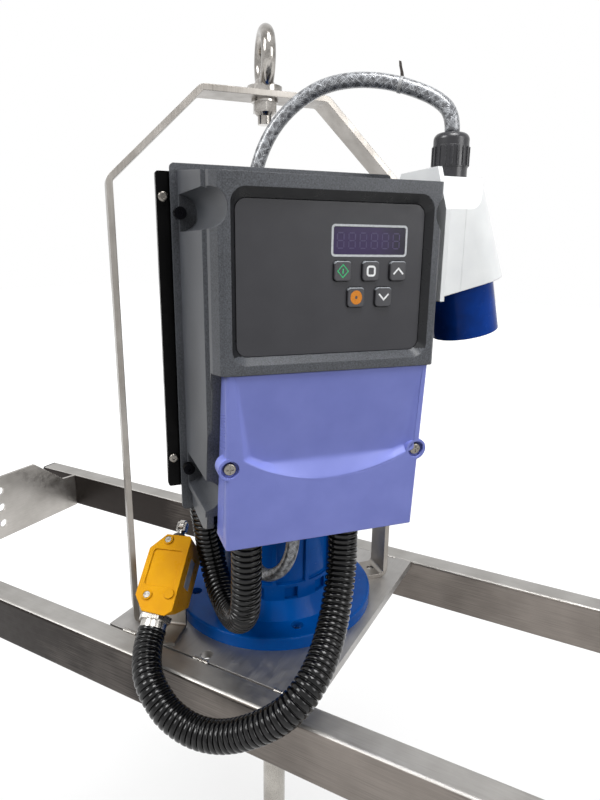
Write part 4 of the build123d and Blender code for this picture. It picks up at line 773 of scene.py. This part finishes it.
class AGITATOR_OT_drive(Operator):
    """Drive casting, cover, plates and glands"""
    bl_idname = "agitator.drive"
    bl_label = "Drive"

    def execute(self, context):
        colours = settings()[0]
        # die-cast aluminium under textured powder coat
        coat = powder("powder_coated_casting", colours.case, "#5A5D63", 0.44)
        give(coat, "drive_case", "drive_heat_sink")
        # satin injection-moulded cover
        violet = moulded("violet_moulding", colours.cover, "#767FC5", 0.38, 0.6, 0.012, 0.8, 0.3)
        give(violet, "terminal_cover")
        # gloss stove enamel on sheet steel
        back = moulded("gloss_black_enamel", "#040405", "#030303", 0.2, 3.0, 0.006, 0.6, 0.06)
        give(back, "drive_back_plate")
        # bent stainless sheet, with stainless and blackened screws
        give(brushed("stainless_bracket", "#B9B5AF", "#8B8680", 0.34, 0.5, (1.0, 1.0, 0.05)), "drive_bracket")
        screw = brushed("stainless_screw", "#96928C", "#615D58", 0.24, 0.2)
        give(screw, "drive_mount_screws", "terminal_cover_screws")
        give(brushed("blackened_screw", "#1B1B1F", "#0C0C0E", 0.35, 0.2), "drive_case_screws")
        # moulded polyamide glands and a lacquered glass-fibre board
        give(moulded("polyamide_gland", "#17181B", "#0E0F11", 0.4, gloss=0.3), "drive_glands")
        give(moulded("green_board", "#1E5A34", "#123A22", 0.5), "drive_circuit_board")
        self.grip_ribs(violet)
        self.scoop(violet)
        # the pocket's side and top walls, above its lower lip, get a darker and smoother coat: painted shade
        # of the recess
        smooth = moulded("pocket_wall_painted_shade", "#1A1B1E", "#141518", 0.3, 1.0, 0.01, 0.6, 0.3)
        give_some("drive_case", smooth, self.on_pocket_wall)
        return {"FINISHED"}

    def on_pocket_wall(self, face):
        """True for the side and top walls of the keypad's pocket, which carry the painted shade."""
        across, up, outward = drive_place(face.center)
        inside = abs(across) < POCKET_HALF and POCKET_LIP < up < POCKET_TOP
        return inside and PANEL_FACE - POCKET_DEEP < outward < CASE_FRONT - 0.2

    def scoop(self, material):
        """Shallow scoop of the cover's front, with its crescent ledge, as one thin moulded skin."""
        lean = asin((COVER_FRONT_TOP - COVER_FRONT_LOW) / (COVER_TOP - COVER_LOW))

        def spot(x, y, z):
            up = COVER_TOP + y * cos(lean) - z * sin(lean)
            outward = COVER_FRONT_TOP + y * sin(lean) + z * cos(lean)
            return spot_at(DRIVE_CENTRE + x, up, outward)

        shape = bmesh.new()
        sheets = []
        for under in (0.0, SKIN):
            rows = []
            for j in range(SCOOP_ROWS + 1):
                row = []
                for k in range(SCOOP_COLUMNS + 1):
                    share = k / SCOOP_COLUMNS
                    foot = scoop_arc(SCOOP_FOOT[0] + SCOOP_FOOT[1] * share) - SCOOP_PAST
                    y = foot * j / SCOOP_ROWS
                    left, right = scoop_sides(y)
                    x = left - SCOOP_PAST + (right - left + 2 * SCOOP_PAST) * share
                    rim = k in (0, SCOOP_COLUMNS) or j == SCOOP_ROWS
                    rise = SCOOP_RIM if rim else SCOOP_RAISED - scoop_depth(x, y)
                    row.append(shape.verts.new(spot(x, y, rise - under)))
                rows.append(row)
            sheets.append(rows)
        for rows in sheets:
            join_rows(shape, rows)
        for end in (0, -1):
            join_rows(shape, [[row[end] for row in rows] for rows in sheets])
            join_rows(shape, [rows[end] for rows in sheets])
        mesh = mesh_of(shape, outward=True)
        piece("cover_scoop", mesh, material, smooth=True)

    def grip_ribs(self, material):
        """Fine slanted grip ribs moulded on both side faces of the terminal cover."""
        for side, name in ((-1, "cover_grip_ribs_left"), (1, "cover_grip_ribs_right")):
            face_at = DRIVE_CENTRE + side * COVER_HALF
            shape = bmesh.new()
            up = RIB_LOW
            while up < RIB_TOP:
                share = (up - COVER_LOW) / (COVER_TOP - COVER_LOW)
                back = COVER_BACK_LOW + (COVER_BACK_TOP - COVER_BACK_LOW) * share + RIB_INSET_BACK
                front = COVER_FRONT_LOW + (COVER_FRONT_TOP - COVER_FRONT_LOW) * share - RIB_INSET_FRONT
                if abs(up - LUG_UP) > LUG_ROOM and front - back > RIB_SHORTEST:
                    self.rib(shape, side, face_at, up, back, min(front, back + RIB_REACH))
                up += RIB_PITCH
            piece(name, mesh_of(shape, outward=True), material)

    def rib(self, shape, side, face_at, up, back, front):
        """One rib: a low ridge, its foot sunk in the face, that climbs towards the front."""
        ends = []
        for outward, rise in ((back, 0.0), (front, RIB_RISE)):
            ends.append([shape.verts.new(spot_at(face_at + side * out, up + rise + dz, outward))
                         for dz, out in RIB_SECTION])
        join_rows(shape, ends, closed=True)
        shape.faces.new(ends[0])
        shape.faces.new(list(reversed(ends[1])))


class AGITATOR_OT_keypad(Operator):
    """Front panel, display and keys"""
    bl_idname = "agitator.keypad"
    bl_label = "Keypad"

    def mark(self, name, key, mesh, ink):
        """A printed symbol on one key's cap, which it moves with."""
        across, up = KEYS[key]
        place = drive_matrix(across, up, KEY_FACE - INK_SUNK)
        piece(name, mesh, ink, body=key + "_cap", matrix=place)

    def execute(self, context):
        # screen-printed polycarbonate overlay
        overlay = moulded("polycarbonate_overlay", "#313135", "#2B2B2F", 0.4, 0.7, 0.02, 0.3, 0.35)
        give(overlay, "keypad_panel")
        # smoked acrylic window
        give(self.window(), "display_lens")
        # silicone rubber keys; their upward-facing upper edges carry a painted highlight in pale grey
        give(moulded("silicone_key", "#36363A", "#2F2F33", 0.36, 0.7, 0.012, 0.4), *KEYS)
        painted_key_highlight = moulded("silicone_key_painted_highlight", "#8D9196", "#6E7277", 0.5, 0.7, 0.012, 0.3)
        for key in KEYS:
            give_some(key, painted_key_highlight, lambda face: 0.25 < face.normal.z < 0.97)
        # screen-printed outline, digits and key signs
        pale = printed("pale_grey_ink", "#C3C6C9", "#AEB1B5")
        across, up, wide, high = DISPLAY
        outlines = rounded_frame(wide + DISPLAY_PAST, high + DISPLAY_PAST, 2.6, DISPLAY_LINE)
        piece("display_outline", ring_mesh(outlines, INK), pale,
              matrix=drive_matrix(across, up, PANEL_FACE - INK_SUNK))
        self.digits()
        white = printed("white_ink", "#EDEEEE", "#DADBDC")
        green = printed("green_ink", "#3DBB78", "#2FA566")
        amber = printed("amber_ink", "#D8851F", "#B86E18", dots_mm=0.8)
        for name, key, sign in (("up_arrow", "up_key", 1), ("down_arrow", "down_key", -1)):
            arrow = [(x, y * sign) for x, y in ARROW]
            self.mark(name, key, plate_mesh([arrow], INK), white)
        stop = rounded_frame(6.6, 7.2, 2.2, 1.35)
        self.mark("stop_sign", "stop_key", ring_mesh(stop, INK), white)
        diamond = round_outlines((4.2, 3.35), 4, 1.08)
        self.mark("start_sign", "start_key", ring_mesh(diamond, INK), green)
        bar = stroke(0.0, -1.5, 0.0, 1.5, 0.85)
        self.mark("start_bar", "start_key", plate_mesh([bar], INK), green)
        disc = round_outlines((4.2, 0.95), 28, 1.1)
        self.mark("reset_sign", "reset_key", ring_mesh(disc, INK), amber)
        return {"FINISHED"}

    def window(self):
        """Smoked violet acrylic, fading to near black at its right end."""
        material, tree, shader = start("smoked_acrylic", Roughness=0.22, Specular_IOR_Level=0.3)
        parts = node(tree, "ShaderNodeSeparateXYZ", Vector=places(tree))
        slide = maths(tree, "ADD", maths(tree, "MULTIPLY", parts.outputs["X"], ACROSS.x),
                      maths(tree, "MULTIPLY", parts.outputs["Y"], ACROSS.y))
        across, up, wide, high = DISPLAY
        middle = (DRIVE_CENTRE + across) * MM
        fade = remap(tree, slide, middle + 0.12 * wide * MM, middle + 0.5 * wide * MM)
        patch = spread(tree, noise(tree, 9.0, 1.0), -0.15, 0.15)
        amount = maths(tree, "ADD", fade, patch, clamp=True)
        feed(tree, shader, blend_colours(tree, amount, "#33264C", "#1F1D2A"))
        return material

    def digits(self):
        """Six unlit seven-segment digits that show faintly through the window."""
        unlit = printed("unlit_segment", "#443A62", "#3A3054", 0.3, 3.0)
        across, up, wide, high = DISPLAY
        w, h, gap = DIGIT_W / 2, DIGIT_H / 2, DIGIT_GAP
        outlines = []
        for k in range(DIGITS):
            x = -wide / 2 + wide * (k + DIGIT_FIRST) / (DIGITS + DIGIT_SPARE)
            for y in (-h, 0.0, h):
                outlines.append(stroke(x - w + gap, y, x + w - gap, y, DIGIT_LINE))
            for side in (-w, w):
                for low in (-h, 0.0):
                    outlines.append(stroke(x + side, low + gap, x + side, low + h - gap, DIGIT_LINE))
        piece("display_digits", plate_mesh(outlines, INK), unlit,
              matrix=drive_matrix(across, up, LENS_FACE - INK_SUNK))


class AGITATOR_OT_inlet(Operator):
    """Mains inlet with its shroud, pins and gland"""
    bl_idname = "agitator.inlet"
    bl_label = "Mains inlet"

    def execute(self, context):
        # pale grey polyamide housing
        housing = moulded("grey_polyamide", settings()[0].inlet, "#DADCDD", 0.4, 0.6, 0.012, 0.8, 0.4)
        give(housing, "inlet_base", "inlet_body")
        # blue polyamide shroud, glossier
        give(moulded("blue_polyamide", "#063A90", "#042A6C", 0.22, gloss=0.08), "inlet_shroud")
        # nickel-plated pins and a moulded gland
        give(brushed("nickel_plated_brass", "#C9C2B0", "#A39C8A", 0.2, 0.2), "inlet_pins")
        give(moulded("gland_polyamide", "#2A2A2E", "#1E1E22", 0.26), "inlet_gland")
        return {"FINISHED"}


class AGITATOR_OT_switch(Operator):
    """Limit switch, its bracket and plunger"""
    bl_idname = "agitator.switch"
    bl_label = "Limit switch"

    def execute(self, context):
        # yellow polyester coat on die-cast zinc
        coat = moulded("yellow_coating", settings()[0].switch, "#CB8C00", 0.3, 0.8, 0.02, 0.9, 0.1)
        give(coat, "switch_housing", "switch_lid")
        # bright turned steel, a rubber boot and a bent stainless bracket
        steel = brushed("bright_steel", "#DAD7D2", "#96928C", 0.25, 0.2)
        give(steel, "switch_plunger", "switch_roller", "switch_fitting")
        give(moulded("nitrile_boot", "#2A2622", "#1C1916", 0.5), "switch_boot")
        bent = brushed("stainless_switch_bracket", "#B9B5AF", "#8B8680", 0.36, 0.4, (1.0, 1.0, 0.1))
        give(bent, "switch_bracket")
        # the lid's screws and their washers lie on it, inside its raised bosses
        screw = brushed("steel_lid_screw", "#B4B0A8", "#6E6A64", 0.3, 0.2, cloud_mm=3.0)
        give_some("switch_lid", screw, self.on_screw)
        # bare grey vinyl patch on the switch's right side
        vinyl = printed("grey_vinyl_patch", "#A3A9B6", "#858C9B", 0.4, 5.0)
        outline = rounded_box(*LABEL_SIZE, 1.0)
        spot = Vector(switch_point(SWITCH_HALF - LABEL_SUNK, *LABEL_AT))
        turn = Matrix((-SWITCH_OUT, SWITCH_ALONG, SWITCH_ACROSS)).transposed().to_4x4()
        mesh = plate_mesh([outline], LABEL_THICK, 0.1)
        piece("switch_plate", mesh, vinyl, matrix=Matrix.Translation(spot) @ turn)
        return {"FINISHED"}

    def on_screw(self, face):
        """True for faces of the two lid screws."""
        for x, y in LID_SCREWS:
            apart = face.center - Vector(switch_point(x, y, 0.0))
            rise = apart.dot(SWITCH_OUT)
            if (apart - SWITCH_OUT * rise).length < SCREW_R * MM and rise > SCREW_RISE * MM:
                return True
        return False


class AGITATOR_OT_cords(Operator):
    """Corrugated conduits and the braided cable"""
    bl_idname = "agitator.cords"
    bl_label = "Conduits and cable"

    def conduit(self, name, route, sizes, material):
        """One corrugated conduit along a route."""
        points = route_line(name, route)
        found, total = stations(points, sizes.conduit_pitch / STEPS_PER_RIB)
        mesh = tube(found, corrugation(sizes.conduit_pitch, sizes.groove, CONDUIT_R), CONDUIT_SIDES)
        made = piece(name, mesh, material)
        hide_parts(name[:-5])

    def execute(self, context):
        sizes = settings()[1]
        # corrugated polyamide, glossy where it is rubbed
        black = moulded("conduit_polyamide", "#060607", "#030304", 0.13, 0.8, 0.006, 0.0, 0.32)
        end = [Vector(p) * MM + UP * RAIL_TOP * MM for p in SWITCH_CONDUIT_END]
        last = [switch_point(0, -19, -15), switch_point(0, -9, -15)]
        self.conduit("switch_conduit_tube", place_route(SWITCH_CONDUIT) + end + last, sizes, black)
        self.conduit("motor_conduit_tube", place_route(MOTOR_CONDUIT), sizes, black)
        # galvanised wire braid under a clear vinyl sheath
        silver = braided("wire_braid_clear_sheath", 4, sizes.braid_pitch / MM)
        points = route_line("supply_cable", place_route(SUPPLY_CABLE))
        found, total = stations(points, CABLE_STEP)
        mesh = tube(found, lambda goal: CABLE_R, ROUND_SIDES)
        made = piece("supply_cable_braid", mesh, silver)
        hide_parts("supply_cable")
        self.tie(points)
        return {"FINISHED"}

    def tie(self, points):
        """A cable tie near the inlet: a clear band round the cable and its cut tail."""
        found, total = stations(points, TIE_WIDTH / 4 * MM)
        near = [step for step in found if abs(step[0] - TIE_AT * MM) < TIE_WIDTH / 2 * MM]
        clear = moulded("clear_nylon", "#A9AAAB", "#8E8F90", 0.3)
        mesh = tube(near, lambda goal: TIE_R, ROUND_SIDES)
        band = piece("cable_tie_band", mesh, clear)
        spot, tangent = near[len(near) // 2][1:3]
        across = tangent.cross(UP).normalized()
        lift = across.cross(tangent).normalized()
        shape = bmesh.new()
        rings = []
        for reach, lean, wide, thick in TIE_TAIL:
            middle = spot + (lift * reach + tangent * lean) * MM
            rings.append([shape.verts.new(middle + (across * wide * a + tangent * thick * b) * MM)
                          for a, b in ((-1, -1), (1, -1), (1, 1), (-1, 1))])
        join_rows(shape, rings, closed=True)
        shape.faces.new(rings[0])
        shape.faces.new(rings[-1])
        black = moulded("black_nylon", "#2B231D", "#1A1512", 0.4)
        mesh = mesh_of(shape, outward=True)
        tail = piece("cable_tie_tail", mesh, black)
        return [band, tail]


class AGITATOR_PT_panel(Panel):
    """Lists the agitator's operators"""
    bl_idname = "AGITATOR_PT_panel"
    bl_label = "Agitator"
    bl_space_type = "VIEW_3D"
    bl_region_type = "UI"
    bl_category = "Agitator"

    def draw(self, context):
        for group in settings():
            for key in group.__annotations__:
                self.layout.prop(group, key)
        for made in OPERATORS:
            self.layout.operator(made.bl_idname)


OPERATORS = (AGITATOR_OT_stage, AGITATOR_OT_cords, AGITATOR_OT_bridge, AGITATOR_OT_gearmotor,
             AGITATOR_OT_shaft, AGITATOR_OT_lifting, AGITATOR_OT_drive, AGITATOR_OT_keypad,
             AGITATOR_OT_inlet, AGITATOR_OT_switch)
GROUPS = (AgitatorColours, AgitatorCords, AgitatorStage)


def register():
    """Registers the settings, operators and panel."""
    for made in GROUPS + OPERATORS + (AGITATOR_PT_panel,):
        bpy.utils.register_class(made)
    bpy.types.Scene.agitator_colours = PointerProperty(type=AgitatorColours)
    bpy.types.Scene.agitator_cords = PointerProperty(type=AgitatorCords)
    bpy.types.Scene.agitator_stage = PointerProperty(type=AgitatorStage)


def unregister():
    """Takes them away again."""
    for name in ("agitator_colours", "agitator_cords", "agitator_stage"):
        delattr(bpy.types.Scene, name)
    for made in reversed(GROUPS + OPERATORS + (AGITATOR_PT_panel,)):
        bpy.utils.unregister_class(made)


def main():
    """Builds the whole look."""
    register()
    for made in OPERATORS:
        group, name = made.bl_idname.split(".")
        getattr(getattr(bpy.ops, group), name)()


if __name__ == "__main__":
    main()
